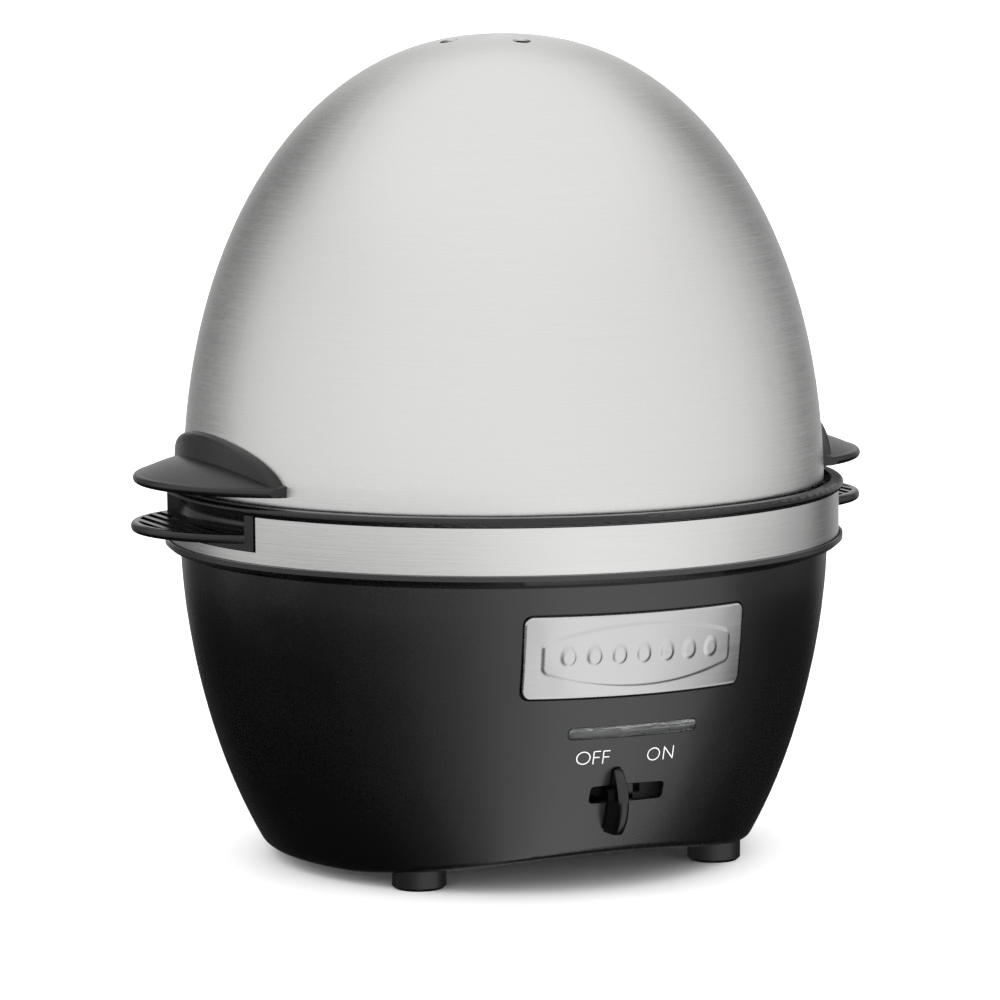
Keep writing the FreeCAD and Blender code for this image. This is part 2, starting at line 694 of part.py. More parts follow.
def on_wall_edge(edge, highest):
    """True where an edge runs along the outside of the wall, no higher than highest."""
    if edge.BoundBox.ZMax > highest + 0.1:
        return False
    for share in (0.0, 0.35, 0.5, 1.0):
        span = edge.LastParameter - edge.FirstParameter
        place = edge.valueAt(edge.FirstParameter + share * span)
        outside = wall_radius(max(place.z, size("skirt_bottom")))
        if abs(math.hypot(place.x, place.y) - outside) > 0.05:
            return False
    return True


def slot_bevel():
    """Flared cutter that breaks the outer edge of the switch slot, square to the wall there."""
    level = size("slot_level")
    step = 2.0
    lean = math.degrees(math.atan2(wall_radius(level + step) - wall_radius(level - step),
                                   2 * step))
    bevel = size("slot_bevel")
    wires = []
    for out, grow in ((-bevel, 0.0), (bevel, 2 * bevel)):
        width = size("slot_width") + 2 * grow
        height = size("slot_height") + 2 * grow
        section = rounded_prism(width, height, size("slot_corner") + grow, 0.0, 0.0, 1.0)
        face = [f for f in section.Faces if abs(f.CenterOfMass.y) < 1e-6][0]
        wire = face.OuterWire.copy()
        wire.translate(Vector(0, -out, 0))
        wires.append(wire)
    cutter = Part.makeLoft(wires, True, True)
    cutter.rotate(ORIGIN, Vector(1, 0, 0), lean)
    cutter.translate(Vector(0, -wall_radius(level), level))
    return cutter


new_feature("base_housing", make_housing())

# ----------------------------------------------------------------------------
# Steel band with its two notches
# ----------------------------------------------------------------------------
band = new_body("steel_band")
revolve(band, [
    ("dims.band_radius - dims.band_thickness", "dims.band_bottom"),
    ("dims.band_radius", "dims.band_bottom"),
    ("dims.band_radius", "dims.band_top"),
    ("dims.band_radius - dims.band_thickness", "dims.band_top"),
], "band_ring")
notch_sketch = new_sketch(band, "YZ_Plane", "notch_outline")
add_box(notch_sketch, "-dims.band_radius * sin(dims.notch_angle * 1 deg)", "dims.notch_bottom",
        "dims.band_radius * sin(dims.notch_angle * 1 deg)", "dims.band_top + 1")
pocket(band, notch_sketch, "2 * dims.band_radius + 2", "notches", symmetric=True)

# ----------------------------------------------------------------------------
# Heating bowl, its seal, studs and nuts, and what is fixed under it
# ----------------------------------------------------------------------------
bowl = new_body("heating_bowl")
revolve(bowl, [
    ("0", "dims.bowl_floor - dims.bowl_thickness"),
    ("dims.bowl_radius - dims.bowl_draft + dims.bowl_thickness",
     "dims.bowl_floor - dims.bowl_thickness"),
    ("dims.bowl_radius + dims.bowl_thickness", "dims.deck_level + dims.seal_thickness"),
    ("dims.bowl_flange_radius", "dims.deck_level + dims.seal_thickness"),
    ("dims.bowl_flange_radius",
     "dims.deck_level + dims.seal_thickness + dims.bowl_thickness"),
    ("dims.bowl_radius", "dims.deck_level + dims.seal_thickness + dims.bowl_thickness"),
    ("dims.bowl_radius - dims.bowl_draft", "dims.bowl_floor"),
    ("0", "dims.bowl_floor"),
], "bowl_sheet")

seal = new_body("bowl_seal")
revolve(seal, [
    ("dims.plate_opening + 0.2", "dims.deck_level"),
    ("dims.seal_radius", "dims.deck_level"),
    ("dims.seal_radius", "dims.deck_level + dims.seal_thickness"),
    ("dims.plate_opening + 0.2", "dims.deck_level + dims.seal_thickness"),
], "seal_ring")

studs = new_body("bowl_studs")
stud_sketch = new_sketch(studs, "XY_Plane", "stud_section",
                         "dims.bowl_floor - dims.bowl_thickness")
add_circle(stud_sketch, "0", "dims.stud_pitch", "dims.stud_radius")
stud = pad(studs, stud_sketch, "dims.stud_length", "stud")
stud.Reversed = True
doc.recompute()
polar(studs, [stud], "dims.stud_count", "stud_ring")

nuts = new_body("bowl_nuts")
nut_sketch = new_sketch(nuts, "XY_Plane", "nut_section",
                        "dims.shelf_top - dims.shelf_thickness")
add_outline(nut_sketch, [
    ("dims.nut_flats / sqrt(3)", "dims.stud_pitch"),
    ("dims.nut_flats / sqrt(3) / 2", "dims.stud_pitch + dims.nut_flats / 2"),
    ("-dims.nut_flats / sqrt(3) / 2", "dims.stud_pitch + dims.nut_flats / 2"),
    ("-dims.nut_flats / sqrt(3)", "dims.stud_pitch"),
    ("-dims.nut_flats / sqrt(3) / 2", "dims.stud_pitch - dims.nut_flats / 2"),
    ("dims.nut_flats / sqrt(3) / 2", "dims.stud_pitch - dims.nut_flats / 2"),
])
add_circle(nut_sketch, "0", "dims.stud_pitch", "dims.stud_radius")
nut = pad(nuts, nut_sketch, "dims.nut_height", "nut")
nut.Reversed = True
doc.recompute()
polar(nuts, [nut], "dims.stud_count", "nut_ring")


def make_element():
    """Tubular heater: most of a turn, with a connection tail going down from each end."""
    pitch = size("element_radius")
    tube = size("element_tube")
    span = size("element_span")
    height = size("bowl_floor") - size("bowl_thickness") - size("element_gap") - tube
    section = Part.Face(Part.Wire(Part.makeCircle(tube, Vector(pitch, 0, height),
                                                  Vector(0, 1, 0))))
    ring = section.revolve(ORIGIN, Z_AXIS, span)
    ring.rotate(ORIGIN, Z_AXIS, 90.0 + (360.0 - span) / 2)
    caps = []
    for side in (-1, 1):
        angle = math.radians(90.0 + side * (360.0 - span) / 2)
        place = Vector(pitch * math.cos(angle), pitch * math.sin(angle), height)
        caps.append(Part.makeSphere(tube, place))
    return unite(ring, caps)


new_feature("heating_element", make_element())

tails = new_body("element_tails")
tail_sketch = new_sketch(
    tails, "XY_Plane", "tail_section",
    "dims.bowl_floor - dims.bowl_thickness - dims.element_gap - 2 * dims.element_tube")
TAIL_TURN = "dims.element_radius * %s((180 - dims.element_span / 2) * 1 deg)"
for sign in ("", "-"):
    add_circle(tail_sketch, sign + TAIL_TURN % "sin", TAIL_TURN % "cos", "dims.tail_radius")
tail = pad(tails, tail_sketch, "dims.tail_length", "tail")
tail.Reversed = True

thermostat = new_body("thermostat")
strap_sketch = new_sketch(thermostat, "XY_Plane", "strap_outline",
                          "dims.bowl_floor - dims.bowl_thickness")
add_box(strap_sketch, "-dims.thermostat_ear", "-dims.thermostat_radius / 2",
        "dims.thermostat_ear", "dims.thermostat_radius / 2")
strap = pad(thermostat, strap_sketch, "dims.bowl_thickness", "strap")
strap.Reversed = True
can_sketch = new_sketch(thermostat, "XY_Plane", "can_outline",
                        "dims.bowl_floor - dims.bowl_thickness")
add_circle(can_sketch, "0", "0", "dims.thermostat_radius")
can = pad(thermostat, can_sketch, "dims.thermostat_height", "can")
can.Reversed = True

fuse = doc.addObject("Part::Cylinder", "thermal_fuse")
fuse.Label = "thermal_fuse"
fuse.setExpression("Radius", "dims.fuse_radius")
fuse.setExpression("Height", "dims.fuse_length")
fuse.Placement = FreeCAD.Placement(
    Vector(-size("fuse_length") / 2, -size("fuse_offset"),
           size("bowl_floor") - size("bowl_thickness") - size("fuse_radius")),
    FreeCAD.Rotation(Vector(0, 1, 0), 90))
NODES.append(fuse)

# ----------------------------------------------------------------------------
# Bottom cover, feet and their screws
# ----------------------------------------------------------------------------
cover = new_body("bottom_cover")
cover_sketch = new_sketch(cover, "XY_Plane", "cover_outline", "dims.cover_level")
add_circle(cover_sketch, "0", "0", "dims.cover_radius")
pad(cover, cover_sketch, "dims.cover_thickness", "cover_plate")
clear_sketch = new_sketch(cover, "XY_Plane", "cover_cut_outs", "dims.cover_level")
for side_x, side_y in (("", ""), ("-", ""), ("-", "-"), ("", "-")):
    add_circle(clear_sketch, side_x + "dims.foot_pitch_x", side_y + "dims.foot_pitch_y",
               "dims.cover_notch")
BOSS_ALONG = "dims.boss_pitch * cos(dims.boss_turn * 1 deg)"
BOSS_ACROSS = "dims.boss_pitch * sin(dims.boss_turn * 1 deg)"
for side_x, side_y in ((BOSS_ALONG, BOSS_ACROSS), ("-" + BOSS_ACROSS, BOSS_ALONG),
                       ("-" + BOSS_ALONG, "-" + BOSS_ACROSS), (BOSS_ACROSS, "-" + BOSS_ALONG)):
    add_circle(clear_sketch, side_x, side_y, "dims.screw_radius + dims.screw_clearance")
pocket(cover, clear_sketch, "dims.cover_thickness", "cover_openings", reverse=True)

feet = new_body("rubber_feet")


def foot_circles(name, radius):
    """Sketch on the table plane with one circle at each of the four feet."""
    sketch = new_sketch(feet, "XY_Plane", name)
    for side_x, side_y in (("", ""), ("-", ""), ("-", "-"), ("", "-")):
        add_circle(sketch, side_x + "dims.foot_pitch_x", side_y + "dims.foot_pitch_y", radius)
    return sketch


foot = pad(feet, foot_circles("foot_outlines", "dims.foot_radius"), "dims.foot_height", "foot")
doc.recompute()
foot_edge = feet.newObject("PartDesign::Chamfer", "foot_edge")
bottom_edges = ["Edge%d" % (index + 1) for index, edge in enumerate(foot.Shape.Edges)
                if edge.BoundBox.ZMax < 0.01]
foot_edge.Base = (foot, bottom_edges)
foot_edge.setExpression("Size", "dims.foot_chamfer")
pocket(feet, foot_circles("foot_recess_outlines", "dims.screw_head + dims.recess_clearance"),
       "dims.foot_counterbore", "foot_recess", reverse=True)
pocket(feet, foot_circles("foot_hole_outlines", "dims.screw_radius"),
       "dims.foot_height", "foot_hole", reverse=True)


def screw_set(label, places, length):
    """Pan-head screws as separate solids; each place is a head seat and a pointing direction."""
    screws = []
    for seat, direction in places:
        away = direction * -1
        head = cylinder(size("screw_head"), size("screw_head_height"), seat, away)
        crown = [edge for edge in head.Edges
                 if edge.Closed and abs((edge.CenterOfMass - seat).Length
                                        - size("screw_head_height")) < 1e-6]
        head = head.makeFillet(size("screw_head_height") / 3, crown)
        drive_slot = cylinder(size("screw_head") / 3, size("screw_head_height") / 2,
                              seat + away * (size("screw_head_height") / 2), away)
        shank = cylinder(size("screw_radius"), length, seat, direction)
        screws.append(head.cut(drive_slot).fuse(shank).removeSplitter())
    return new_feature(label, Part.makeCompound(screws))


UP = Vector(0, 0, 1)
screw_set("foot_screws", [(place, UP) for place in foot_places(size("foot_counterbore"))],
          size("foot_screw_length"))
boss_angles = [math.radians(size("boss_turn") + 90.0 * quarter) for quarter in range(4)]
screw_set("cover_screws", [
    (Vector(size("boss_pitch") * math.cos(angle), size("boss_pitch") * math.sin(angle),
            size("cover_level")), UP)
    for angle in boss_angles
], size("cover_screw_length") - 1)


# ----------------------------------------------------------------------------
# Name plate and indicator lens, both following the wall
# ----------------------------------------------------------------------------
def make_name_plate():
    far = size("lip_radius")
    near = size("board_front")
    low = size("plate_level") - size("plate_height") * 0.7
    high = size("plate_level") + size("plate_height") * 0.7
    outline = rounded_prism(size("plate_width"), size("plate_height"), size("plate_corner"),
                            size("plate_level"), near, far)
    sheet_part = wall_ring(size("plate_sink"), size("plate_proud"), low, high).common(outline)
    raised = wall_ring(size("plate_sink") / 2, size("plate_proud") + size("panel_proud"),
                       low, high).common(barrel_prism(near, far))
    marks = []
    mark_ring = wall_ring(size("plate_sink") / 2, size("plate_proud") + size("panel_proud")
                          + size("egg_mark_proud"), low, high)
    count = int(size("egg_mark_count"))
    for index in range(count):
        across = size("egg_mark_pitch") * (index - (count - 1) / 2)
        marks.append(mark_ring.common(egg_prism(across, near, far)))
    return unite(sheet_part, [raised] + marks)


def extruded_outline(edges, near, far):
    """Bar along Y whose section in XZ is a closed chain of edges drawn at y = -far."""
    face = Part.Face(Part.Wire(Part.__sortEdges__(edges)))
    return face.extrude(Vector(0, far - near, 0))


def barrel_prism(near, far):
    """Bar with the section of the name plate's raised field: straight ends, bowed long sides."""
    half = size("panel_width") / 2
    end = size("panel_end_height") / 2
    middle = size("panel_height") / 2
    level = size("plate_level")
    top = Part.Arc(Vector(-half, -far, level + end), Vector(0, -far, level + middle),
                   Vector(half, -far, level + end)).toShape()
    low = Part.Arc(Vector(half, -far, level - end), Vector(0, -far, level - middle),
                   Vector(-half, -far, level - end)).toShape()
    right = Part.LineSegment(Vector(half, -far, level + end), Vector(half, -far, level - end))
    left = Part.LineSegment(Vector(-half, -far, level - end), Vector(-half, -far, level + end))
    bar = extruded_outline([top, right.toShape(), low, left.toShape()], near, far)
    corners = [edge for edge in bar.Edges if abs(edge.tangentAt(edge.FirstParameter).y) > 0.9]
    return bar.makeFillet(size("panel_corner"), corners)


def egg_prism(across, near, far):
    """Bar with an upright egg-shaped section: two half ellipses, the lower one shorter."""
    half = size("egg_mark_width") / 2
    widest = size("plate_level") - size("egg_mark_height") * 0.08
    above = size("plate_level") + size("egg_mark_height") / 2 - widest
    below = size("egg_mark_height") - above
    left = Vector(across - half, -far, widest)
    right = Vector(across + half, -far, widest)
    centre = Vector(across, -far, widest)
    halves = []
    for reach, side in ((above, 1), (below, -1)):
        points = []
        for index in range(EGG_STEPS + 1):
            angle = math.pi * index / EGG_STEPS
            points.append(centre + Vector(half * math.cos(angle), 0,
                                          side * reach * math.sin(angle)))
        points[0], points[-1] = right, left
        spline = Part.BSplineCurve()
        spline.interpolate(Points=points, InitialTangent=Vector(0, 0, side),
                           FinalTangent=Vector(0, 0, -side))
        halves.append(spline.toShape())
    return extruded_outline(halves, near, far)


def make_lens():
    bar = rounded_prism(size("lens_width"), size("lens_height"), size("lens_height") / 2 - 0.2,
                        size("lens_level"), size("board_front") + 2, size("lip_radius"))
    ring = wall_ring(size("wall_thickness"), size("lens_proud"),
                     size("lens_level") - 2 * size("lens_height"),
                     size("lens_level") + 2 * size("lens_height"))
    return ring.common(bar)


new_feature("name_plate", make_name_plate())
new_feature("indicator_lens", make_lens())


# ----------------------------------------------------------------------------
# Switch: lever with its slider plate, and the switch body behind it
# ----------------------------------------------------------------------------
def make_lever():
    """Upright grip fin, stem through the slot, slider plate and drive pin, in the OFF position."""
    offset = -size("lever_travel") / 2
    low = size("lever_bottom")
    high = size("lever_top")
    level = size("slot_level")
    middle = (low + high) / 2
    gap = size("lever_gap")
    crest = size("lever_crest")
    shoulder = wall_radius(high) + gap
    half = size("lever_thickness") / 2

    # Side view of the fin: its front is a shallow arc, its back follows the wall
    left = offset - half
    front_low = Vector(left, -shoulder, low)
    front_high = Vector(left, -shoulder, high)
    front = Part.Arc(front_low, Vector(left, -crest, middle), front_high).toShape()
    back_low = Vector(left, -wall_radius(low) - gap, low)
    back_middle = Vector(left, -wall_radius(middle) - gap, middle)
    back = Part.Arc(back_low, back_middle, front_high).toShape()
    sole = Part.LineSegment(front_low, back_low).toShape()
    fin = Part.Face(Part.Wire([front, back, sole])).extrude(Vector(2 * half, 0, 0))
    nose = [edge for edge in fin.Edges
            if abs(edge.CenterOfMass.x - offset) > half - 0.01
            and edge.BoundBox.YMin < -crest + 0.1]
    fin = fin.makeFillet(size("lever_rounding"), nose).Solids[0]

    carriage_back = size("carriage_front") - size("carriage_thickness")
    stem_front = wall_radius(level) + gap + size("stem_overlap")
    stem = centred_box(size("stem_width"), stem_front - carriage_back, size("stem_height"),
                       Vector(offset, -(stem_front + carriage_back) / 2, level))
    plate = centred_box(size("carriage_width"), size("carriage_thickness"),
                        size("carriage_height"),
                        Vector(offset, -(size("carriage_front") + carriage_back) / 2, level))
    pin = centred_box(size("drive_pin_width"), size("drive_pin_length"),
                      size("drive_pin_width"),
                      Vector(offset, -carriage_back + size("drive_pin_length") / 2, level))
    return unite(fin, [stem, plate, pin])


new_feature("switch_lever", make_lever())

switch = new_body("switch_body")
ear_sketch = new_sketch(switch, "XZ_Plane", "ear_outline",
                        "dims.switch_front - dims.switch_depth / 2")
add_box(ear_sketch, "-dims.ear_width / 2", "dims.slot_level - dims.switch_height / 3",
        "dims.ear_width / 2", "dims.slot_level + dims.switch_height / 3")
for side in ("", "-"):
    add_circle(ear_sketch, side + "dims.ear_screw_pitch / 2", "dims.slot_level",
               "dims.screw_radius + dims.screw_clearance")
pad(switch, ear_sketch, "dims.ear_thickness", "ears")
case_sketch = new_sketch(switch, "XZ_Plane", "case_outline",
                         "dims.switch_front - dims.switch_depth")
add_box(case_sketch, "-dims.switch_width / 2", "dims.slot_level - dims.switch_height / 2",
        "dims.switch_width / 2", "dims.slot_level + dims.switch_height / 2")
pad(switch, case_sketch, "dims.switch_depth", "case")
channel_sketch = new_sketch(switch, "XZ_Plane", "channel_outline", "dims.switch_front")
add_box(channel_sketch, "-dims.lever_travel", "dims.slot_level - dims.switch_pocket_height / 2",
        "dims.lever_travel", "dims.slot_level + dims.switch_pocket_height / 2")
pocket(switch, channel_sketch, "dims.switch_pocket_depth", "channel")

FORWARD = Vector(0, -1, 0)
switch_seat = size("switch_front") - size("switch_depth") / 2
screw_set("switch_screws", [
    (Vector(side * size("ear_screw_pitch") / 2, -switch_seat, size("slot_level")), FORWARD)
    for side in (-1, 1)
], size("switch_depth") * 0.7)

# ----------------------------------------------------------------------------
# Control board with its lamp and buzzer
# ----------------------------------------------------------------------------
board = new_body("control_board")
board_sketch = new_sketch(board, "XZ_Plane", "board_outline",
                          "dims.board_front - dims.board_thickness")
add_box(board_sketch, "-dims.board_width / 2", "dims.board_bottom",
        "dims.board_width / 2", "dims.board_top")
for side in ("", "-"):
    add_circle(board_sketch, side + "dims.board_screw_pitch / 2", "dims.board_screw_level",
               "dims.screw_radius + dims.screw_clearance")
pad(board, board_sketch, "dims.board_thickness", "board")

screw_set("board_screws", [
    (Vector(side * size("board_screw_pitch") / 2,
            -(size("board_front") - size("board_thickness")), size("board_screw_level")),
     FORWARD)
    for side in (-1, 1)
], size("wall_thickness") * 2.5)

lamp = new_body("indicator_lamp")
lamp_sketch = new_sketch(lamp, "XZ_Plane", "lamp_section", "dims.board_front")
add_circle(lamp_sketch, "0", "dims.lens_level", "dims.led_radius")
pad(lamp, lamp_sketch, "dims.led_length", "lamp")

buzzer = new_body("buzzer")
buzzer_sketch = new_sketch(buzzer, "XZ_Plane", "buzzer_section",
                           "dims.board_front - dims.board_thickness")
add_circle(buzzer_sketch, "dims.buzzer_offset", "(dims.board_bottom + dims.board_top) / 2",
           "dims.buzzer_radius")
buzzer_can = pad(buzzer, buzzer_sketch, "dims.buzzer_height", "buzzer_can")
buzzer_can.Reversed = True

# ----------------------------------------------------------------------------
# Cord gland in the rear wall, and the terminal block on the bottom cover
# ----------------------------------------------------------------------------
gland = new_body("cord_gland")
barrel_sketch = new_sketch(gland, "XZ_Plane", "barrel_outline", "-dims.gland_outer")
add_box(barrel_sketch, "-dims.gland_width / 2 + dims.gland_fit",
        "dims.gland_level - dims.gland_height / 2 + dims.gland_fit",
        "dims.gland_width / 2 - dims.gland_fit",
        "dims.gland_level + dims.gland_height / 2 - dims.gland_fit")
pad(gland, barrel_sketch, "dims.gland_outer - dims.gland_inner", "barrel")
flange_sketch = new_sketch(gland, "XZ_Plane", "flange_outline", "-dims.gland_outer")
add_box(flange_sketch, "-dims.gland_width / 2 - dims.gland_flange",
        "dims.gland_level - dims.gland_height / 2 - dims.gland_flange",
        "dims.gland_width / 2 + dims.gland_flange",
        "dims.gland_level + dims.gland_height / 2 + dims.gland_flange")
pad(gland, flange_sketch, "dims.gland_outer - dims.gland_shoulder", "flange")
bore_sketch = new_sketch(gland, "XZ_Plane", "bore_section", "-dims.gland_outer")
add_circle(bore_sketch, "0", "dims.gland_level", "dims.gland_bore")
pocket(gland, bore_sketch, "dims.gland_outer - dims.gland_inner", "bore", reverse=True)

terminal = doc.addObject("Part::Box", "terminal_block")
terminal.Label = "terminal_block"
terminal.setExpression("Length", "dims.terminal_width")
terminal.setExpression("Width", "dims.terminal_depth")
terminal.setExpression("Height", "dims.terminal_height")
terminal.Placement = FreeCAD.Placement(
    Vector(-size("terminal_width") / 2, size("terminal_offset") - size("terminal_depth") / 2,
           size("cover_level") + size("cover_thickness")),
    FreeCAD.Rotation())
NODES.append(terminal)


# ----------------------------------------------------------------------------
# Lower egg rack: rim, recess for the dome, tray with seven egg holes, two finger tabs
# ----------------------------------------------------------------------------
def egg_holes():
    """Centres of the seven holes of the lower tray."""
    places = [Vector(0, 0, 0)]
    for index in range(6):
        angle = math.radians(60.0 * index)
        places.append(Vector(size("egg_pitch") * math.cos(angle),
                             size("egg_pitch") * math.sin(angle), 0))
    return places


def make_lower_rack():
    tray_bottom = size("tray_top") - size("tray_thickness")
    body = turned_outline([
        (0.0, tray_bottom),
        (size("skirt_inner"), tray_bottom),
        (size("skirt_inner"), size("skirt_level")),
        (size("skirt_outer"), size("skirt_level")),
        (size("skirt_outer"), tray_bottom),
        (size("ring_outer"), tray_bottom),
        (size("ring_outer"), size("rim_bottom")),
        (size("rim_radius"), size("rim_bottom")),
        (size("rim_radius"), size("rim_top")),
        (size("recess_radius"), size("rim_top")),
        (size("recess_radius"), size("recess_level")),
        (size("ring_inner"), size("recess_level")),
        (size("ring_inner"), size("tray_top")),
        (0.0, size("tray_top")),
    ])
    edge_ring = [edge for edge in body.Edges
                 if edge.Closed and edge.BoundBox.XMax > size("rim_radius") - 0.01]
    body = body.makeFillet(size("rim_fillet"), edge_ring)

    grip_angle = size("grip_angle")
    roof = size("niche_roof")
    tab_top = size("tab_bottom") + size("tab_thickness")
    deepest = size("niche_depth_radius")
    outside = size("grip_radius") + 4
    parts = []
    scoops = []
    for facing in (0.0, 180.0):
        parts.append(turned_outline([
            (size("ring_outer") - 1.0, size("grip_bottom")),
            (size("grip_radius"), size("grip_bottom")),
            (size("grip_radius"), size("rim_bottom") + 0.8),
            (size("ring_outer") - 1.0, size("rim_bottom") + 0.8),
        ], facing - grip_angle, 2 * grip_angle))
        niche_angle = grip_angle - size("grip_bar_angle")
        mouth = [
            (outside, roof),
            (size("rim_radius") - 1.0, roof),
            (size("rim_radius") - 2.0, roof - 0.5),
            (deepest + 0.9, roof - 1.9),
            (deepest, (roof + tab_top) / 2 - 0.4),
            (deepest + 0.5, tab_top + 0.9),
            (deepest + 1.9, tab_top),
            (outside, tab_top),
        ]
        hollow = turn([curve(mouth[1:-1])] + segments(mouth[:2])
                      + segments([mouth[-2], mouth[-1], mouth[0]]),
                      facing - niche_angle, 2 * niche_angle)
        scoops.append(hollow)
        parts.append(make_tab(facing))
    body = unite(body, parts)
    body = subtract(body, scoops)

    lips = []
    holes = []
    for place in egg_holes():
        base = place + Vector(0, 0, tray_bottom)
        lips.append(cylinder(size("egg_hole") + size("egg_lip"),
                             size("tray_thickness") + size("egg_lip_height"), base))
        holes.append(cylinder(size("egg_hole"), 4 * size("tray_thickness"),
                              base - Vector(0, 0, size("tray_thickness"))))
    return subtract(unite(body, lips), holes)


def make_tab(facing):
    """Finger tab: part of a disc with rounded edges and straight grip grooves on top."""
    disc = cylinder(size("tab_edge_radius"), size("tab_thickness"),
                    Vector(size("tab_centre"), 0, size("tab_bottom")))
    disc = disc.makeFillet(size("tab_fillet"), [edge for edge in disc.Edges
                                                if abs(edge.Length - 2 * math.pi
                                                       * size("tab_edge_radius")) < 1e-3])
    inner = cylinder(size("ring_outer") - 0.6, 4 * size("tab_thickness"),
                     Vector(0, 0, size("tab_bottom") - size("tab_thickness")))
    disc = disc.cut(inner)
    half = centred_box(size("rim_radius"), 2 * size("rim_radius"), 4 * size("tab_thickness"),
                       Vector(-size("rim_radius") / 2, 0, size("tab_bottom")))
    disc = disc.cut(half)
    tab_top = size("tab_bottom") + size("tab_thickness")
    plain = size("tab_edge_radius") - size("tab_border")
    grip = cylinder(plain, 2 * size("tab_groove_depth"),
                    Vector(size("tab_centre"), 0, tab_top - size("tab_groove_depth")))
    grooves = []
    for index in range(int(size("tab_groove_count"))):
        across = size("tab_groove_first") + index * size("tab_groove_pitch")
        groove = centred_box(size("tab_groove_width"), 2 * size("tab_edge_radius"),
                             2 * size("tab_groove_depth"), Vector(across, 0, tab_top))
        grooves.append(groove.common(grip))
    disc = subtract(disc, grooves)
    disc.rotate(ORIGIN, Z_AXIS, facing)
    return disc


new_feature("lower_egg_rack", make_lower_rack())

# ----------------------------------------------------------------------------
# Upper egg rack and its three legs
# ----------------------------------------------------------------------------
upper = new_body("upper_egg_rack")
tray = revolve(upper, [
    ("dims.upper_finger_hole", "dims.upper_level"),
    ("dims.upper_radius", "dims.upper_level"),
    ("dims.upper_radius", "dims.upper_level + dims.upper_rim_height"),
    ("dims.upper_radius - dims.upper_rim_thickness",
     "dims.upper_level + dims.upper_rim_height"),
    ("dims.upper_radius - dims.upper_rim_thickness", "dims.upper_level + dims.upper_thickness"),
    ("dims.upper_finger_hole", "dims.upper_level + dims.upper_thickness"),
], "upper_tray")
upper_sketch = new_sketch(upper, "XY_Plane", "upper_holes_outline", "dims.upper_level")
for angle in ("90", "210", "330"):
    add_circle(upper_sketch, "dims.upper_pitch * cos(%s deg)" % angle,
               "dims.upper_pitch * sin(%s deg)" % angle, "dims.upper_hole")
pocket(upper, upper_sketch, "dims.upper_thickness", "upper_holes", reverse=True)

legs = new_body("upper_rack_legs")
leg_sketch = new_sketch(legs, "XZ_Plane", "leg_profile")
add_outline(leg_sketch, [
    ("dims.leg_pitch", "dims.tray_top + dims.leg_gap"),
    ("dims.leg_pitch + dims.leg_foot_radius", "dims.tray_top + dims.leg_gap"),
    ("dims.leg_pitch + dims.leg_foot_radius",
     "dims.tray_top + dims.leg_gap + dims.leg_foot_height"),
    ("dims.leg_pitch + dims.leg_radius",
     "dims.tray_top + dims.leg_gap + dims.leg_foot_height"),
    ("dims.leg_pitch + dims.leg_radius", "dims.upper_level"),
    ("dims.leg_pitch", "dims.upper_level"),
])
leg = legs.newObject("PartDesign::Revolution", "leg")
leg.Profile = leg_sketch
leg.ReferenceAxis = (leg_sketch, ["Edge6"])
leg.Angle = 360.0
doc.recompute()
leg_ring = polar(legs, [leg], "3", "leg_ring")
legs.Placement = FreeCAD.Placement(ORIGIN, FreeCAD.Rotation(Z_AXIS, 30))


# ----------------------------------------------------------------------------
# Dome lid, its two wing handles and their screws
# ----------------------------------------------------------------------------
def make_dome():
    shell = dome_solid(0.0, size("dome_edge")).cut(
        dome_solid(-size("dome_thickness"), size("dome_edge") - 1.0))
    vents = []
    for index in range(int(size("vent_count"))):
        angle = math.radians(size("vent_angle") + 360.0 / size("vent_count") * index)
        place = Vector(size("vent_pitch") * math.cos(angle),
                       size("vent_pitch") * math.sin(angle), size("upper_level"))
        vents.append(cylinder(size("vent_radius"), size("dome_top"), place))
    vents += wing_screw_holes(size("screw_clearance"))
    return subtract(shell, vents)


def wing_screw_holes(clearance):
    """Drills along X through the dome where the wing screws pass."""
    drills = []
    for side in (-1, 1):
        for spread in (-1, 1):
            start = Vector(side * size("leg_pitch"), spread * size("wing_screw_spread"),
                           size("wing_screw_level"))
            drills.append(cylinder(size("screw_radius") + clearance, size("leg_pitch"), start,
                                   Vector(side, 0, 0)))
    return drills


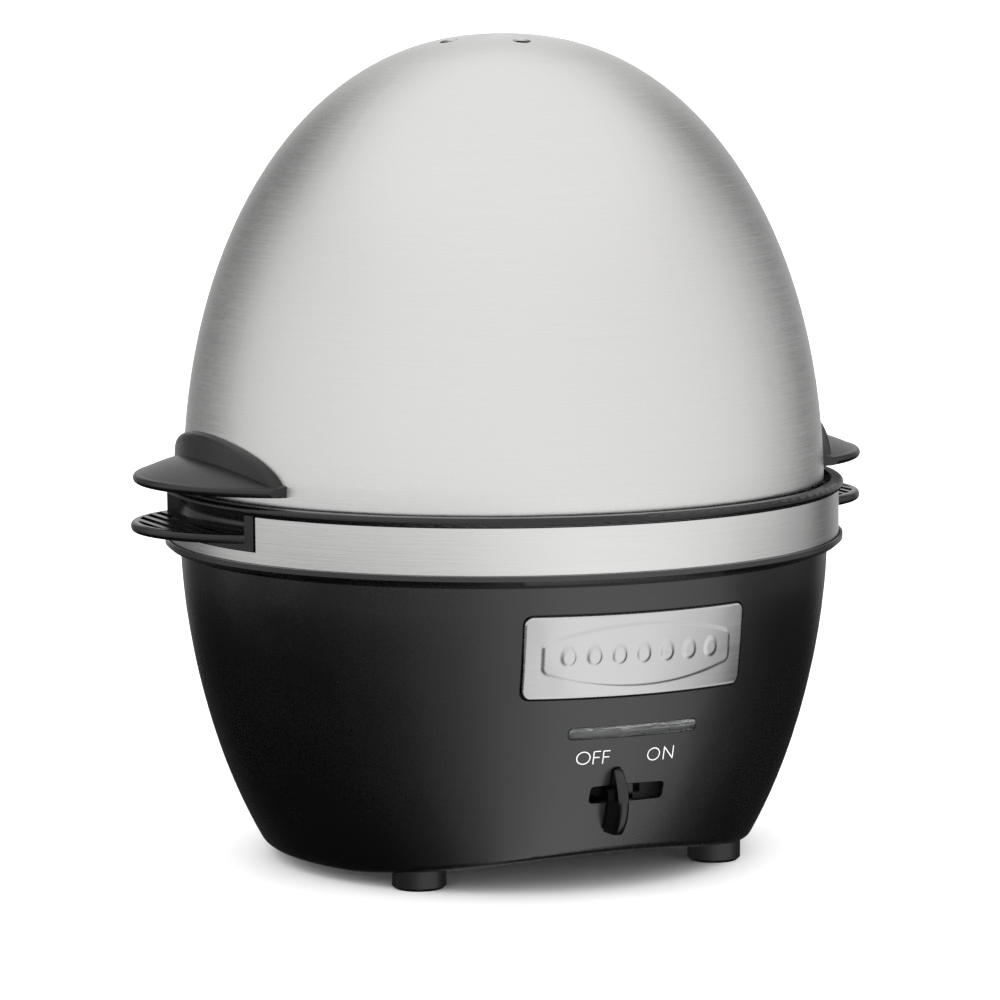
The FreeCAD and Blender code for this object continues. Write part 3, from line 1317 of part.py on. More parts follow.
def make_wing(side):
    """Wing handle: an arched leaf against the dome and a thin blade that flares out of it."""
    bottom = size("wing_bottom")
    edge_radius = size("wing_edge_radius")
    root = size("wing_root_radius")
    edge_top = bottom + size("wing_edge")
    fall = size("wing_root_top") - edge_top
    shoulder = edge_radius - size("wing_edge") / 2
    flare = []
    for index in range(WING_STEPS + 1):
        share = index / WING_STEPS
        radius = root + (shoulder - root) * share
        flare.append((radius, edge_top + fall * (1 - share ** size("wing_flare_power"))))
    nose = Part.Arc(Vector(flare[-1][0], 0, edge_top),
                    Vector(edge_radius, 0, (bottom + edge_top) / 2),
                    Vector(flare[-1][0], 0, bottom)).toShape()
    edges = [curve(flare), nose]
    edges += segments([(flare[-1][0], bottom), (0.0, bottom), (0.0, flare[0][1]), flare[0]])
    blade = turn(edges)
    blade.translate(Vector(size("wing_centre"), 0, 0))

    # Arched outline of the leaf, seen along X
    half = size("leaf_half_width")
    low = size("leaf_bottom")
    start = Vector(0, -half, low)
    top = Vector(0, 0, size("leaf_top"))
    end = Vector(0, half, low)
    oval = Part.Ellipse(start, top, Vector(0, 0, low))
    arch = Part.Face(Part.Wire([Part.ArcOfEllipse(oval, 0.0, math.pi).toShape(),
                                Part.LineSegment(end, start).toShape()]))
    block = arch.extrude(Vector(3 * edge_radius, 0, 0))
    pillow = dome_solid(size("leaf_thickness"), low - size("cut_margin"))
    leaf = block.common(pillow)
    brow = [edge for edge in leaf.Edges
            if edge.BoundBox.ZMax > size("leaf_top") - 1.0
            and edge.BoundBox.YLength > half / 2
            and edge.BoundBox.XMin > half]
    leaf = leaf.makeFillet(size("leaf_fillet"), brow)

    handle = leaf.fuse(blade)
    handle = handle.cut(dome_solid(size("leaf_gap"), size("leaf_bottom") - 2 * size("cut_margin")))
    keep = centred_box(4 * edge_radius, 2 * size("wing_half_width"), 2 * size("leaf_top"),
                       Vector(size("wing_centre") + 2 * edge_radius, 0, size("leaf_top")))
    handle = handle.common(keep).removeSplitter()
    if side < 0:
        handle.rotate(ORIGIN, Z_AXIS, 180.0)
    pilots = []
    for spread in (-1, 1):
        pilots.append(cylinder(size("screw_radius"), wing_screw_reach(),
                               Vector(side * size("leg_pitch"),
                                      spread * size("wing_screw_spread"),
                                      size("wing_screw_level")), Vector(side, 0, 0)))
    return subtract(handle, pilots)


def dome_inside(height):
    """Inside radius of the dome at a height."""
    share = (height - size("dome_base")) / (size("dome_top") - size("dome_base"))
    girth = (1 - share ** size("dome_rise_power")) ** (1 / size("dome_girth_power"))
    return size("dome_radius") * girth - size("dome_thickness")


def wing_screw_seat():
    """Distance from the middle plane to the seat of a wing screw's head inside the dome."""
    inside = dome_inside(size("wing_screw_level"))
    return math.sqrt(inside ** 2 - size("wing_screw_spread") ** 2) - 1.0


def wing_screw_reach():
    return wing_screw_seat() + size("wing_screw_length") - size("leg_pitch")


new_feature("lid_dome", make_dome())
new_feature("lid_wing_right", make_wing(1))
new_feature("lid_wing_left", make_wing(-1))
screw_set("wing_screws", [
    (Vector(side * wing_screw_seat(), spread * size("wing_screw_spread"),
            size("wing_screw_level")), Vector(side, 0, 0))
    for side in (-1, 1) for spread in (-1, 1)
], size("wing_screw_length"))

# ----------------------------------------------------------------------------
# Checks and export
# ----------------------------------------------------------------------------
doc.recompute()
for item in doc.Objects:
    if "Invalid" in item.State or "Error" in item.State:
        raise RuntimeError("failed feature: " + item.Name + " " + str(item.State))
for node in NODES:
    shape = node.Shape
    if shape.isNull() or not shape.isValid() or shape.Volume <= 0:
        raise RuntimeError("bad shape: " + node.Label)

os.makedirs("parts", exist_ok=True)
for node in NODES:
    node.Shape.exportStep("parts/" + node.Label + ".step")
    box = node.Shape.BoundBox
    print("%-18s solids %d volume %9.0f  x %7.2f %7.2f  y %7.2f %7.2f  z %7.2f %7.2f" % (
        node.Label, len(node.Shape.Solids), node.Shape.Volume,
        box.XMin, box.XMax, box.YMin, box.YMax, box.ZMin, box.ZMax))
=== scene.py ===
import json
import math

import bmesh
import bpy
from mathutils import Matrix, Vector


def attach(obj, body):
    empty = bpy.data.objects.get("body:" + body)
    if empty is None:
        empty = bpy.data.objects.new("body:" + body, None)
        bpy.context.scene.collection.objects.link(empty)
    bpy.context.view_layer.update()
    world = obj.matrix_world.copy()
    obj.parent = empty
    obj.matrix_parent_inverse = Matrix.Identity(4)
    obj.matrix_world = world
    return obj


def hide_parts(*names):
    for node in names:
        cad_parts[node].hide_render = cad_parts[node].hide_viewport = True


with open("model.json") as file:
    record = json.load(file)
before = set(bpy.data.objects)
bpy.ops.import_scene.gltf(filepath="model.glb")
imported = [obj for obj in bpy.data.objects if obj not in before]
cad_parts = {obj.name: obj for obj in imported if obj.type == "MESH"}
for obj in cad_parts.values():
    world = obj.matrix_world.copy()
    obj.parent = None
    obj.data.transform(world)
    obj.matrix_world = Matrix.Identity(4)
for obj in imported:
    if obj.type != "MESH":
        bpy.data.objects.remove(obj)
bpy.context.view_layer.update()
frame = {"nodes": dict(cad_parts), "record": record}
NODES = frame["nodes"]

# ----------------------------------------------------------------------------
# Camera: angle, distance and lens that give the reference view
# ----------------------------------------------------------------------------
TURN = 0.42             # the object is turned this far about Z from facing the camera, rad
DISTANCE = 1.2909       # from the object's axis, m
HEIGHT = 0.25615        # above the floor, m
YAW = -0.0008
PITCH = 0.1205
ROLL = -0.0073
LENS_MM = 164.73
SENSOR_MM = 36.0
CLIP_START = 0.05
CLIP_END = 20.0

TURN_BACK = Matrix.Rotation(-TURN, 4, "Z")


def make_camera():
    forward = Vector((math.sin(YAW) * math.cos(PITCH), math.cos(YAW) * math.cos(PITCH),
                      -math.sin(PITCH)))
    level_right = Vector((math.cos(YAW), -math.sin(YAW), 0.0))
    level_up = level_right.cross(forward)
    right = math.cos(ROLL) * level_right + math.sin(ROLL) * level_up
    up = math.cos(ROLL) * level_up - math.sin(ROLL) * level_right
    turn = Matrix((right, up, -forward)).transposed().to_4x4()
    data = bpy.data.cameras.new("camera")
    data.lens = LENS_MM
    data.sensor_width = SENSOR_MM
    data.clip_start = CLIP_START
    data.clip_end = CLIP_END
    camera = bpy.data.objects.new("camera", data)
    bpy.context.scene.collection.objects.link(camera)
    place = Matrix.Translation(Vector((0.0, -DISTANCE, HEIGHT)))
    camera.matrix_world = TURN_BACK @ place @ turn
    bpy.context.scene.camera = camera


make_camera()


# ----------------------------------------------------------------------------
# Mesh helpers
# ----------------------------------------------------------------------------
RAY_START_Y = -0.2      # in front of everything


def front_place(thing, x, z):
    """Where a ray along +Y first meets a node."""
    _, place, _, _ = thing.ray_cast(Vector((x, RAY_START_Y, z)), Vector((0, 1, 0)))
    return place


def to_object(mesh, name, material, smooth=True):
    """Turn a bmesh into an object with one material."""
    bmesh.ops.recalc_face_normals(mesh, faces=mesh.faces)
    data = bpy.data.meshes.new(name)
    mesh.to_mesh(data)
    mesh.free()
    if smooth:
        data.polygons.foreach_set("use_smooth", [True] * len(data.polygons))
    made = bpy.data.objects.new(name, data)
    bpy.context.scene.collection.objects.link(made)
    data.materials.append(material)
    return made


# ----------------------------------------------------------------------------
# Node helpers
# ----------------------------------------------------------------------------
COLOUR_A, COLOUR_B, COLOUR_RESULT = 6, 7, 2     # sockets of a colour Mix node
FLOAT_A, FLOAT_B = 2, 3                         # and of a float one


class Shader:
    """A material under construction, with short ways to add and join nodes."""

    def __init__(self, name):
        self.material = bpy.data.materials.new(name)
        self.material.use_nodes = True
        self.tree = self.material.node_tree
        self.bsdf = self.tree.nodes["Principled BSDF"]

    def node(self, kind, **settings):
        made = self.tree.nodes.new(kind)
        for key, value in settings.items():
            setattr(made, key, value)
        return made

    def join(self, source, target):
        self.tree.links.new(source, target)

    def set(self, **sockets):
        for key, value in sockets.items():
            self.bsdf.inputs[key.replace("_", " ")].default_value = value

    def feed(self, made, values):
        """Set a node's first sockets to numbers, or join them to other nodes."""
        for socket, value in zip(made.inputs, values):
            if isinstance(value, (int, float)):
                socket.default_value = value
            elif value is not None:
                self.join(value, socket)
        return made.outputs[0]

    def math(self, operation, first, second=None):
        return self.feed(self.node("ShaderNodeMath", operation=operation), (first, second))

    def position(self):
        coordinates = self.node("ShaderNodeTexCoord")
        split = self.node("ShaderNodeSeparateXYZ")
        self.join(coordinates.outputs["Object"], split.inputs[0])
        return coordinates.outputs["Object"], split.outputs

    def vector(self, x, y, z):
        return self.feed(self.node("ShaderNodeCombineXYZ"), (x, y, z))

    def noise(self, vector, scale, detail=2.0, roughness=0.5):
        made = self.node("ShaderNodeTexNoise")
        made.inputs["Scale"].default_value = scale
        made.inputs["Detail"].default_value = detail
        made.inputs["Roughness"].default_value = roughness
        self.join(vector, made.inputs["Vector"])
        return made.outputs["Fac"]

    def ramp(self, value, low, high, out_low, out_high):
        made = self.node("ShaderNodeMapRange")
        made.inputs["From Min"].default_value = low
        made.inputs["From Max"].default_value = high
        made.inputs["To Min"].default_value = out_low
        made.inputs["To Max"].default_value = out_high
        self.join(value, made.inputs["Value"])
        return made.outputs["Result"]

    def colours(self, value, low, high):
        made = self.node("ShaderNodeMix", data_type="RGBA")
        made.inputs[COLOUR_A].default_value = (*low, 1.0)
        made.inputs[COLOUR_B].default_value = (*high, 1.0)
        self.join(value, made.inputs[0])
        return made.outputs[COLOUR_RESULT]

    def bump(self, height, strength, distance):
        made = self.node("ShaderNodeBump")
        made.inputs["Strength"].default_value = strength
        made.inputs["Distance"].default_value = distance
        self.join(height, made.inputs["Height"])
        self.join(made.outputs["Normal"], self.bsdf.inputs["Normal"])


LINES_ACROSS = 5200.0   # brushing lines: how fine they are across their run
LINES_LEAN = 0.6        # the same outward, as a share
LINES_ROUND = 9.0       # how fast they change along a turn
LINES_STRAIGHT = 90.0   # and along X
BRUSHED_ANISOTROPY = 0.75
PAINTED_STREAK_ALONG = 60.0       # painted reflection streaks of the clear plastic, bright ones and dark ones
PAINTED_STREAK_ACROSS = 900.0


def brushed_steel(name, colour, roughness, around=True):
    """Steel with fine brushing lines, round the Z axis or along X."""
    shader = Shader(name)
    place, axes = shader.position()
    if around:
        angle = shader.math("ARCTAN2", axes[1], axes[0])
        along = shader.math("MULTIPLY", angle, LINES_ROUND)
        radius = shader.math("SQRT", shader.math("ADD", shader.math("MULTIPLY", axes[0], axes[0]),
                                                 shader.math("MULTIPLY", axes[1], axes[1])))
        across = shader.math("SUBTRACT", shader.math("MULTIPLY", axes[2], LINES_ACROSS),
                             shader.math("MULTIPLY", radius, LINES_ACROSS * LINES_LEAN))
    else:
        along = shader.math("MULTIPLY", axes[0], LINES_STRAIGHT)
        across = shader.math("MULTIPLY", axes[2], LINES_ACROSS)
    lines = shader.vector(along, across, 0.0)
    fine = shader.noise(lines, 1.0, 3.0, 0.6)
    coarse = shader.noise(lines, 0.23, 2.0, 0.5)
    cloud = shader.noise(place, 14.0, 3.0, 0.5)
    blend = shader.math("ADD", shader.math("MULTIPLY", fine, 0.6),
                        shader.math("MULTIPLY", coarse, 0.4))
    dark = tuple(c * 0.90 for c in colour)
    light = tuple(min(1.0, c * 1.06) for c in colour)
    shader.join(shader.colours(blend, dark, light), shader.bsdf.inputs["Base Color"])
    rough = shader.math("ADD", shader.ramp(blend, 0.3, 0.7, roughness - 0.05, roughness + 0.05),
                        shader.ramp(cloud, 0.3, 0.7, -0.02, 0.02))
    shader.join(rough, shader.bsdf.inputs["Roughness"])
    shader.set(Metallic=1.0, Anisotropic=BRUSHED_ANISOTROPY)
    tangent = shader.node("ShaderNodeTangent", direction_type="RADIAL", axis="Z" if around else "X")
    shader.join(tangent.outputs[0], shader.bsdf.inputs["Tangent"])
    shader.bump(blend, 0.12, 0.00008)
    return shader.material


def moulded(name, colour, roughness, grain=1500.0, depth=0.00004, strength=0.25,
            specular=0.5):
    """Moulded plastic or rubber: fine grain, slightly uneven gloss and tone."""
    shader = Shader(name)
    place, _ = shader.position()
    fine = shader.noise(place, grain, 2.0, 0.5)
    cloud = shader.noise(place, 22.0, 4.0, 0.55)
    dark = tuple(c * 0.85 for c in colour)
    light = tuple(min(1.0, c * 1.18) for c in colour)
    shader.join(shader.colours(cloud, dark, light), shader.bsdf.inputs["Base Color"])
    rough = shader.math("ADD", shader.ramp(cloud, 0.3, 0.7, roughness - 0.04, roughness + 0.04),
                        shader.ramp(fine, 0.3, 0.7, -0.03, 0.03))
    shader.join(rough, shader.bsdf.inputs["Roughness"])
    shader.set(Specular_IOR_Level=specular)
    shader.bump(fine, strength, depth)
    return shader.material


def plated(name, colour, roughness):
    """Plated or bare metal for screws and small parts, with faint mottling."""
    shader = Shader(name)
    place, _ = shader.position()
    cloud = shader.noise(place, 260.0, 4.0, 0.6)
    dark = tuple(c * 0.8 for c in colour)
    light = tuple(min(1.0, c * 1.1) for c in colour)
    shader.join(shader.colours(cloud, dark, light), shader.bsdf.inputs["Base Color"])
    shader.join(shader.ramp(cloud, 0.3, 0.7, roughness - 0.08, roughness + 0.08),
                shader.bsdf.inputs["Roughness"])
    shader.set(Metallic=1.0)
    shader.bump(cloud, 0.15, 0.00005)
    return shader.material


def clear_lens(name):
    """Clear light pipe: glassy, with streaks of painted reflection and painted shade along it and a
    slight haze.
    """
    shader = Shader(name)
    place, axes = shader.position()
    painted_streak_place = shader.vector(shader.math("MULTIPLY", axes[0], PAINTED_STREAK_ALONG), 0.0,
                         shader.math("MULTIPLY", axes[2], PAINTED_STREAK_ACROSS))
    lines = shader.noise(painted_streak_place, 1.0, 3.0, 0.6)
    haze = shader.noise(place, 320.0, 2.0, 0.5)
    # painted reflection and painted shade: streaks along the rod that run from near black to pale
    # grey
    shader.join(shader.colours(lines, (0.02, 0.02, 0.02), (0.66, 0.67, 0.67)),
                shader.bsdf.inputs["Base Color"])
    shader.join(shader.ramp(haze, 0.3, 0.7, 0.02, 0.08), shader.bsdf.inputs["Roughness"])
    shader.set(Transmission_Weight=0.92, IOR=1.49)
    shader.bump(lines, 0.8, 0.0006)
    return shader.material


BLACK = (0.0016, 0.0016, 0.00165)
MATERIALS = {
    "black_body": moulded("black_body_plastic", BLACK, 0.25, strength=0.10, specular=0.90),
    "black_rack": moulded("black_rack_plastic", BLACK, 0.26, specular=0.55),
    "black_handle": moulded("black_handle_plastic", BLACK, 0.30, specular=0.55),
    "black_cover": moulded("black_cover_plastic", (0.008, 0.008, 0.008), 0.5, 900.0, 0.00008, 0.5),
    "black_lever": moulded("black_lever_plastic", BLACK, 0.14, 2500.0, 0.00001, 0.1, 0.6),
    "rubber": moulded("foot_rubber", (0.002, 0.002, 0.002), 0.22, 1200.0, 0.00003, 0.15),
    "silicone": moulded("seal_silicone", (0.42, 0.40, 0.38), 0.6),
    "dome_steel": brushed_steel("dome_brushed_steel", (0.74, 0.735, 0.73), 0.27),
    "band_steel": brushed_steel("band_brushed_steel", (0.74, 0.735, 0.73), 0.20),
    "plate_steel": brushed_steel("plate_brushed_steel", (0.60, 0.60, 0.60), 0.27, around=False),
    "bowl_coating": moulded("bowl_non_stick", (0.035, 0.035, 0.038), 0.45, 700.0, 0.00006, 0.4),
    "zinc_steel": plated("zinc_plated_steel", (0.55, 0.56, 0.58), 0.35),
    "heater_sheath": plated("heater_sheath_metal", (0.30, 0.28, 0.26), 0.5),
    "thermostat_can": plated("thermostat_metal", (0.62, 0.62, 0.60), 0.3),
    "fuse_sleeve": moulded("fuse_glass_sleeve", (0.72, 0.69, 0.62), 0.8, 3000.0, 0.0001, 0.8),
    "clear_lens": clear_lens("lens_clear_plastic"),
    "switch_nylon": moulded("switch_body_nylon", (0.045, 0.045, 0.045), 0.5),
    "circuit_board": moulded("board_solder_mask", (0.03, 0.16, 0.07), 0.3, 600.0, 0.00003, 0.3),
    "lamp_lens": moulded("lamp_unlit_plastic", (0.16, 0.10, 0.09), 0.2),
    "buzzer_case": moulded("buzzer_plastic", (0.025, 0.025, 0.025), 0.45),
    "terminal_nylon": moulded("terminal_block_nylon", (0.74, 0.72, 0.66), 0.5),
}

SLOT_OF = {item["node"]: item["material_slot"] for item in frame["record"]["subparts"]}
for node, thing in NODES.items():
    thing.data.materials.clear()
    thing.data.materials.append(MATERIALS[SLOT_OF[node]])


# ----------------------------------------------------------------------------
# Name plate: pressed steel, so its raised field and egg shapes have soft shoulders
# ----------------------------------------------------------------------------
PLATE_HALF_WIDTH = 0.0322
PLATE_HALF_HEIGHT = 0.01125
PLATE_LEVEL = 0.0682
PLATE_CORNER = 0.0023
PLATE_EDGE = 0.00035      # rounding of the plate's edge
PLATE_SIDE = 0.0012       # depth of its side
PLATE_SAMPLED = 0.94      # share of the half height in which the flat plate's radius is read
PLATE_COLUMNS = 330
PLATE_ROWS = 120
FIELD_HALF_WIDTH = 0.0280
FIELD_END = 0.0043        # half height of the raised field at its ends
FIELD_MIDDLE = 0.0089
FIELD_RISE = 0.00045
FIELD_SHOULDER = 0.0009
FIELD_CORNER = 0.0018
EGG_COUNT = 7
EGG_PITCH = 0.0070
EGG_HALF_WIDTH = 0.0023
EGG_ABOVE = 0.0036
EGG_BELOW = 0.0026
EGG_RISE = 0.00040
EGG_SHOULDER = 0.0010


def soft_step(share):
    share = min(1.0, max(0.0, share))
    return share * share * (3 - 2 * share)


def plate_relief(x, up):
    """Height over the plain plate at a place from its middle."""
    swell = 1 - (x / FIELD_HALF_WIDTH) ** 2
    limit = FIELD_END + (FIELD_MIDDLE - FIELD_END) * swell
    to_end = FIELD_HALF_WIDTH - abs(x)
    to_side = limit - abs(up)
    inside = min(to_end, to_side)
    if max(to_end, to_side) < FIELD_CORNER:
        inside = FIELD_CORNER - math.hypot(FIELD_CORNER - to_end, FIELD_CORNER - to_side)
    height = FIELD_RISE * soft_step(inside / FIELD_SHOULDER)
    nearest = max(-(EGG_COUNT // 2), min(EGG_COUNT // 2, round(x / EGG_PITCH)))
    reach = EGG_ABOVE if up > 0 else EGG_BELOW
    spread = math.hypot((x - nearest * EGG_PITCH) / EGG_HALF_WIDTH, up / reach)
    return height + EGG_RISE * soft_step((1 - spread) * EGG_HALF_WIDTH / EGG_SHOULDER)


def plate_half_width(up):
    """Half width of the plate at a height from its middle, with its rounded corners."""
    into = max(0.0, abs(up) - (PLATE_HALF_HEIGHT - PLATE_CORNER))
    return PLATE_HALF_WIDTH - PLATE_CORNER + math.sqrt(max(0.0, PLATE_CORNER ** 2 - into ** 2))


def edge_drop(inside):
    """How far the face falls back near the plate's edge."""
    share = max(0.0, 1 - inside / PLATE_EDGE)
    return PLATE_EDGE * (1 - math.sqrt(max(0.0, 1 - share * share)))


def make_name_plate():
    flat = NODES["name_plate"]
    x_clear = (PLATE_HALF_WIDTH + FIELD_HALF_WIDTH) / 2
    mesh = bmesh.new()
    rows = []
    for row_index in range(PLATE_ROWS + 1):
        up = -PLATE_HALF_HEIGHT * math.cos(math.pi * row_index / PLATE_ROWS)
        share = max(-PLATE_SAMPLED, min(PLATE_SAMPLED, up / PLATE_HALF_HEIGHT))
        place = front_place(flat, x_clear, PLATE_LEVEL + share * PLATE_HALF_HEIGHT)
        radius = math.hypot(place.x, place.y)
        half = plate_half_width(up)
        row = []
        for column in range(PLATE_COLUMNS + 1):
            x = half * (2 * column / PLATE_COLUMNS - 1)
            inside = min(half - abs(x), PLATE_HALF_HEIGHT - abs(up))
            out = plate_relief(x, up) - edge_drop(inside)
            y = -math.sqrt(radius ** 2 - x ** 2) - out
            row.append(mesh.verts.new((x, y, PLATE_LEVEL + up)))
        rows.append(row)
    for first, second in zip(rows, rows[1:]):
        for column in range(PLATE_COLUMNS):
            mesh.faces.new((first[column], first[column + 1],
                            second[column + 1], second[column]))
    rim = rows[0] + [row[-1] for row in rows[1:-1]] + rows[-1][::-1]
    rim += [row[0] for row in rows[-2:0:-1]]
    back = [mesh.verts.new(vertex.co + Vector((0, PLATE_SIDE, 0))) for vertex in rim]
    for index, vertex in enumerate(rim):
        after = (index + 1) % len(rim)
        mesh.faces.new((vertex, back[index], back[after], rim[after]))
    plate = to_object(mesh, "plate_face", MATERIALS["plate_steel"])
    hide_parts("name_plate")
    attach(plate, "base")


make_name_plate()

# ----------------------------------------------------------------------------
# Floor and surroundings: there are no lamps, the world gives all the light
# ----------------------------------------------------------------------------
FLOOR_HALF = 60.0


def make_floor():
    """Pale floor. Mirrored rays pass it and meet the lower studio instead."""
    mesh = bpy.data.meshes.new("floor")
    corners = ((-1, -1), (1, -1), (1, 1), (-1, 1))
    mesh.from_pydata([(x * FLOOR_HALF, y * FLOOR_HALF, 0) for x, y in corners],
                     [], [(0, 1, 2, 3)])
    floor = bpy.data.objects.new("floor", mesh)
    bpy.context.scene.collection.objects.link(floor)
    shader = Shader("floor_paper")
    place, _ = shader.position()
    tone = shader.noise(place, 3.0, 2.0, 0.5)
    shader.join(shader.colours(tone, (0.95, 0.95, 0.95), (0.97, 0.97, 0.97)),
                shader.bsdf.inputs["Base Color"])
    shader.set(Roughness=0.6, Specular_IOR_Level=0.2)
    mesh.materials.append(shader.material)
    floor.visible_glossy = False


# Brightness of the studio that mirrored rays meet, by bearing round the object. Bearings are
# in degrees to the right of the side that the reference view looks from; they are fixed in the
# scene and don't follow the camera. The levels were set one by one. The upper rows are what the
# dome mirrors; the lower rows, on the table's side, are what the tapered body mirrors.
UPPER_STUDIO = ((-180, 1.05), (-166, 0.75), (-146, 0.22), (-126, 0.34), (-108, 0.98), (-84, 1.12),
                (-30, 1.26), (15, 1.28), (60, 1.22), (96, 1.10), (118, 0.72), (140, 0.20),
                (164, 0.70), (180, 1.05))
LOWER_STUDIO = ((-180, 0.30), (-166, 0.05), (-130, 0.01), (-75, 0.01), (-45, 0.10),
                (-20, 0.45), (5, 1.05), (25, 1.42), (50, 1.40), (76, 1.05), (96, 0.16),
                (120, 0.03), (150, 0.02), (168, 0.05), (180, 0.30))
LOWER_END = -0.22       # height part of a direction at which only the lower rows count
UPPER_START = -0.09     # and from which only the upper rows count
OVERHEAD = 1.30         # soft box above
OVERHEAD_START = 0.45   # height part of a direction at which it begins
OVERHEAD_FULL = 0.85
WHITE_ROOM = 2.10       # the white surroundings that all other rays meet


def bearing_ramp(shader_tree, value, rows):
    """Colour ramp over the bearing, -180 to 180 degrees."""
    ramp = shader_tree.nodes.new("ShaderNodeValToRGB")
    ramp.color_ramp.interpolation = "EASE"
    stops = ramp.color_ramp.elements
    peak = max(level for _, level in rows)
    for index, (bearing, level) in enumerate(rows):
        at = (bearing + 180) / 360
        if index < 2:
            stop = stops[index]
            stop.position = at
        else:
            stop = stops.new(at)
        shade = level / peak
        stop.color = (shade, shade, shade, 1.0)
    shader_tree.links.new(value, ramp.inputs["Fac"])
    scale = shader_tree.nodes.new("ShaderNodeMath")
    scale.operation = "MULTIPLY"
    scale.inputs[1].default_value = peak
    shader_tree.links.new(ramp.outputs["Color"], scale.inputs[0])
    return scale.outputs[0]


def make_world():
    """White surroundings; mirrored rays meet large soft boxes in a darker room instead."""
    world = bpy.data.worlds.new("studio")
    world.use_nodes = True
    tree = world.node_tree
    join = tree.links.new
    plain = tree.nodes["Background"]
    plain.inputs["Color"].default_value = (1.0, 1.0, 1.0, 1.0)
    plain.inputs["Strength"].default_value = WHITE_ROOM

    def dot(axis):
        made = tree.nodes.new("ShaderNodeVectorMath")
        made.operation = "DOT_PRODUCT"
        made.inputs[1].default_value = axis
        join(direction, made.inputs[0])
        return made.outputs["Value"]

    def between(value, low, high, kind):
        """Share of the way from low to high, held at 0 and 1 beyond them."""
        made = tree.nodes.new("ShaderNodeMapRange")
        made.interpolation_type = kind
        made.inputs["From Min"].default_value = low
        made.inputs["From Max"].default_value = high
        join(value, made.inputs["Value"])
        return made.outputs["Result"]

    def float_mix(share, first):
        made = tree.nodes.new("ShaderNodeMix")
        made.data_type = "FLOAT"
        join(share, made.inputs[0])
        join(first, made.inputs[FLOAT_A])
        return made

    direction = tree.nodes.new("ShaderNodeTexCoord").outputs["Generated"]
    bearing = tree.nodes.new("ShaderNodeMath")
    bearing.operation = "ARCTAN2"
    join(dot(TURN_BACK @ Vector((1, 0, 0))), bearing.inputs[0])
    join(dot(TURN_BACK @ Vector((0, -1, 0))), bearing.inputs[1])
    share = between(bearing.outputs[0], -math.pi, math.pi, "LINEAR")
    lift = between(dot(Vector((0, 0, 1))), LOWER_END, UPPER_START, "SMOOTHSTEP")
    lower = bearing_ramp(tree, share, LOWER_STUDIO)
    blend = float_mix(lift, lower)
    join(bearing_ramp(tree, share, UPPER_STUDIO), blend.inputs[FLOAT_B])
    above = between(dot(Vector((0, 0, 1))), OVERHEAD_START, OVERHEAD_FULL, "SMOOTHSTEP")
    ceiling = float_mix(above, blend.outputs[0])
    ceiling.inputs[FLOAT_B].default_value = OVERHEAD
    boxes = tree.nodes.new("ShaderNodeBackground")
    join(ceiling.outputs[0], boxes.inputs["Strength"])
    rays = tree.nodes.new("ShaderNodeLightPath")
    both = tree.nodes.new("ShaderNodeMixShader")
    join(rays.outputs["Is Glossy Ray"], both.inputs[0])
    join(plain.outputs[0], both.inputs[1])
    join(boxes.outputs[0], both.inputs[2])
    join(both.outputs[0], tree.nodes["World Output"].inputs["Surface"])
    world.cycles.sampling_method = "NONE"
    bpy.context.scene.world = world


make_floor()
make_world()
bpy.context.scene.view_settings.view_transform = "Standard"

# ----------------------------------------------------------------------------
# Switch lettering
# ----------------------------------------------------------------------------
def surface_y(x, z):
    """Front wall of the housing at (x, z)."""
    return front_place(NODES["base_housing"], x, z).y


STROKE = 0.00027         # width of a printed line
PRINT_HEIGHT = 0.00005   # how far the print stands off the wall
CAPITAL = 0.0037         # height of a capital
O_WIDTH = 1.06           # widths as shares of that height
F_WIDTH = 0.54
N_WIDTH = 0.86
F_ARM = 0.92             # the F's middle arm, as a share of its width
WORDS = (("OFF", -0.0161, 0.0398, 0.00072),    # text, left edge, mid height, gap
         ("ON", 0.0044, 0.0395, 0.00110))
ROUND_STEPS = 48
LINE_STEPS = 8


def ring_strip(centre, wide, high):
    """Outer and inner points round the letter O."""
    strip = []
    for step in range(ROUND_STEPS + 1):
        angle = 2 * math.pi * step / ROUND_STEPS
        strip.append([(centre + (wide / 2 - inset) * math.cos(angle),
                       (high / 2 - inset) * math.sin(angle)) for inset in (0.0, STROKE)])
    return strip


def line_strip(start, end):
    """Points on both sides of a straight printed line."""
    along = Vector(end) - Vector(start)
    side = Vector((-along.y, along.x)).normalized() * (STROKE / 2)
    strip = []
    for step in range(LINE_STEPS + 1):
        middle = Vector(start) + along * (step / LINE_STEPS)
        strip.append([tuple(middle + side), tuple(middle - side)])
    return strip


def letter_strips(letter, left):
    """Strips of one capital and its width; the origin is at mid height."""
    top = CAPITAL / 2 - STROKE / 2
    stem = left + STROKE / 2
    if letter == "O":
        wide = O_WIDTH * CAPITAL
        return [ring_strip(left + wide / 2, wide, CAPITAL)], wide
    if letter == "F":
        wide = F_WIDTH * CAPITAL
        return [line_strip((stem, -CAPITAL / 2), (stem, CAPITAL / 2)),
                line_strip((left, top), (left + wide, top)),
                line_strip((left, 0.0), (left + F_ARM * wide, 0.0))], wide
    wide = N_WIDTH * CAPITAL
    right = left + wide - STROKE / 2
    return [line_strip((stem, -CAPITAL / 2), (stem, CAPITAL / 2)),
            line_strip((right, -CAPITAL / 2), (right, CAPITAL / 2)),
            line_strip((stem, top), (right, -top))], wide


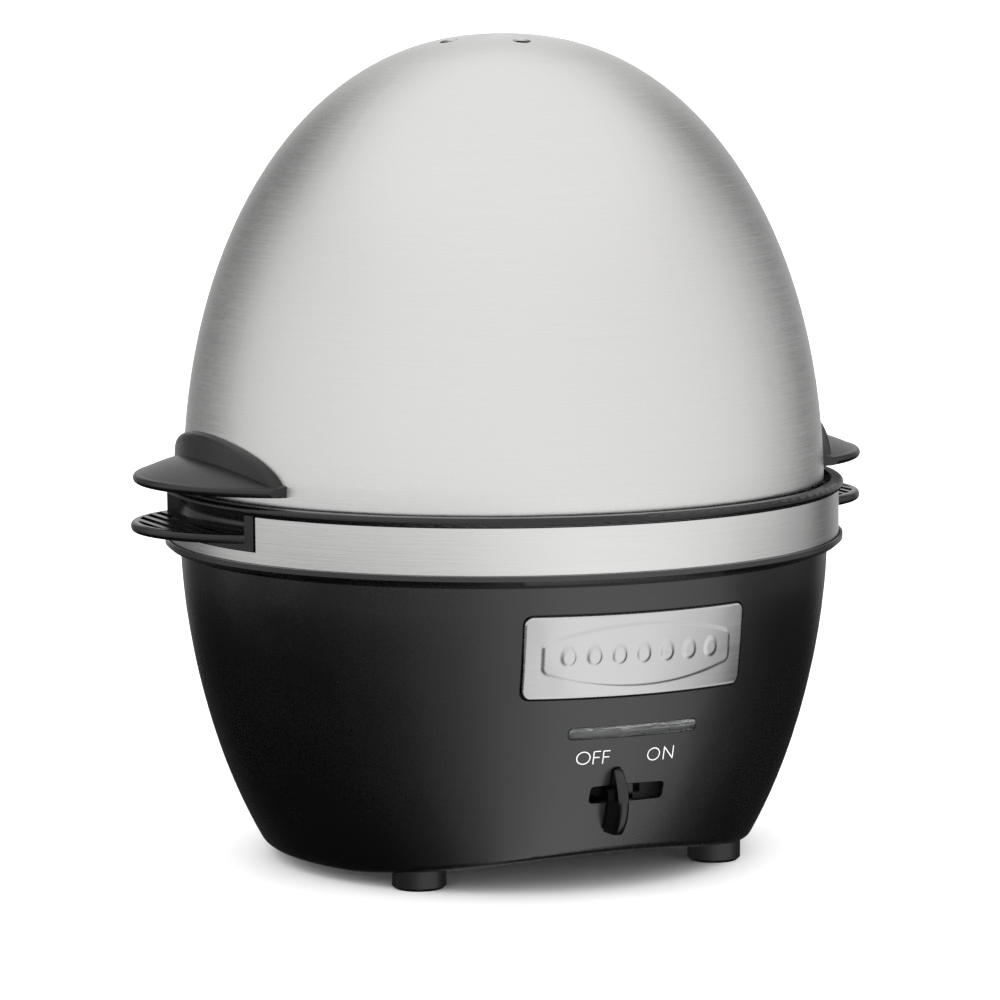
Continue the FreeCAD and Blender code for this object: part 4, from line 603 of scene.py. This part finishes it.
def make_word(text, left, centre_z, spacing, material):
    """White printed word that follows the wall, from its left edge."""
    mesh = bmesh.new()
    for letter in text:
        strips, wide = letter_strips(letter, left)
        for strip in strips:
            rows = []
            for pair in strip:
                rows.append([mesh.verts.new((x, surface_y(x, centre_z + z) - PRINT_HEIGHT,
                                             centre_z + z)) for x, z in pair])
            for first, second in zip(rows, rows[1:]):
                mesh.faces.new((first[0], first[1], second[1], second[0]))
        left += wide + spacing
    word = to_object(mesh, "word_" + text.lower(), material, smooth=False)
    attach(word, "base")


# ----------------------------------------------------------------------------
# Light pipe
# ----------------------------------------------------------------------------
LENS_HALF_LENGTH = 0.0190
LENS_HALF_HEIGHT = 0.0016
LENS_LEVEL = 0.0468
LENS_BULGE = 0.0009      # how far the light pipe stands out of the wall
LENS_STATIONS = 64
LENS_SIDES = 28


def make_light_pipe():
    """Clear rod with round ends, let into the wall and following it."""
    mesh = bmesh.new()
    rows = []
    for station in range(1, LENS_STATIONS):
        x = -LENS_HALF_LENGTH * math.cos(math.pi * station / LENS_STATIONS)
        end = max(0.0, abs(x) - (LENS_HALF_LENGTH - LENS_HALF_HEIGHT)) / LENS_HALF_HEIGHT
        girth = math.sqrt(max(0.0, 1.0 - end * end))
        wall_y = surface_y(x, LENS_LEVEL - 2 * LENS_HALF_HEIGHT)
        lean = surface_y(x, LENS_LEVEL + 2 * LENS_HALF_HEIGHT) - wall_y
        row = []
        for side in range(LENS_SIDES):
            angle = 2 * math.pi * side / LENS_SIDES
            up = LENS_HALF_HEIGHT * girth * math.sin(angle)
            out = LENS_BULGE * girth * math.cos(angle)
            share = 0.5 + up / (4 * LENS_HALF_HEIGHT)
            row.append(mesh.verts.new((x, wall_y + lean * share - out, LENS_LEVEL + up)))
        rows.append(row)
    for first, second in zip(rows, rows[1:]):
        for side in range(LENS_SIDES):
            after = (side + 1) % LENS_SIDES
            mesh.faces.new((first[side], first[after], second[after], second[side]))
    mesh.faces.new(rows[0])
    mesh.faces.new(tuple(reversed(rows[-1])))
    pipe = to_object(mesh, "light_pipe", MATERIALS["clear_lens"])
    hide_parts("indicator_lens")
    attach(pipe, "base")


make_light_pipe()

white_print = moulded("white_print", (0.80, 0.80, 0.80), 0.5, 2600.0, 0.00001, 0.2)
for word_row in WORDS:
    make_word(*word_row, white_print)
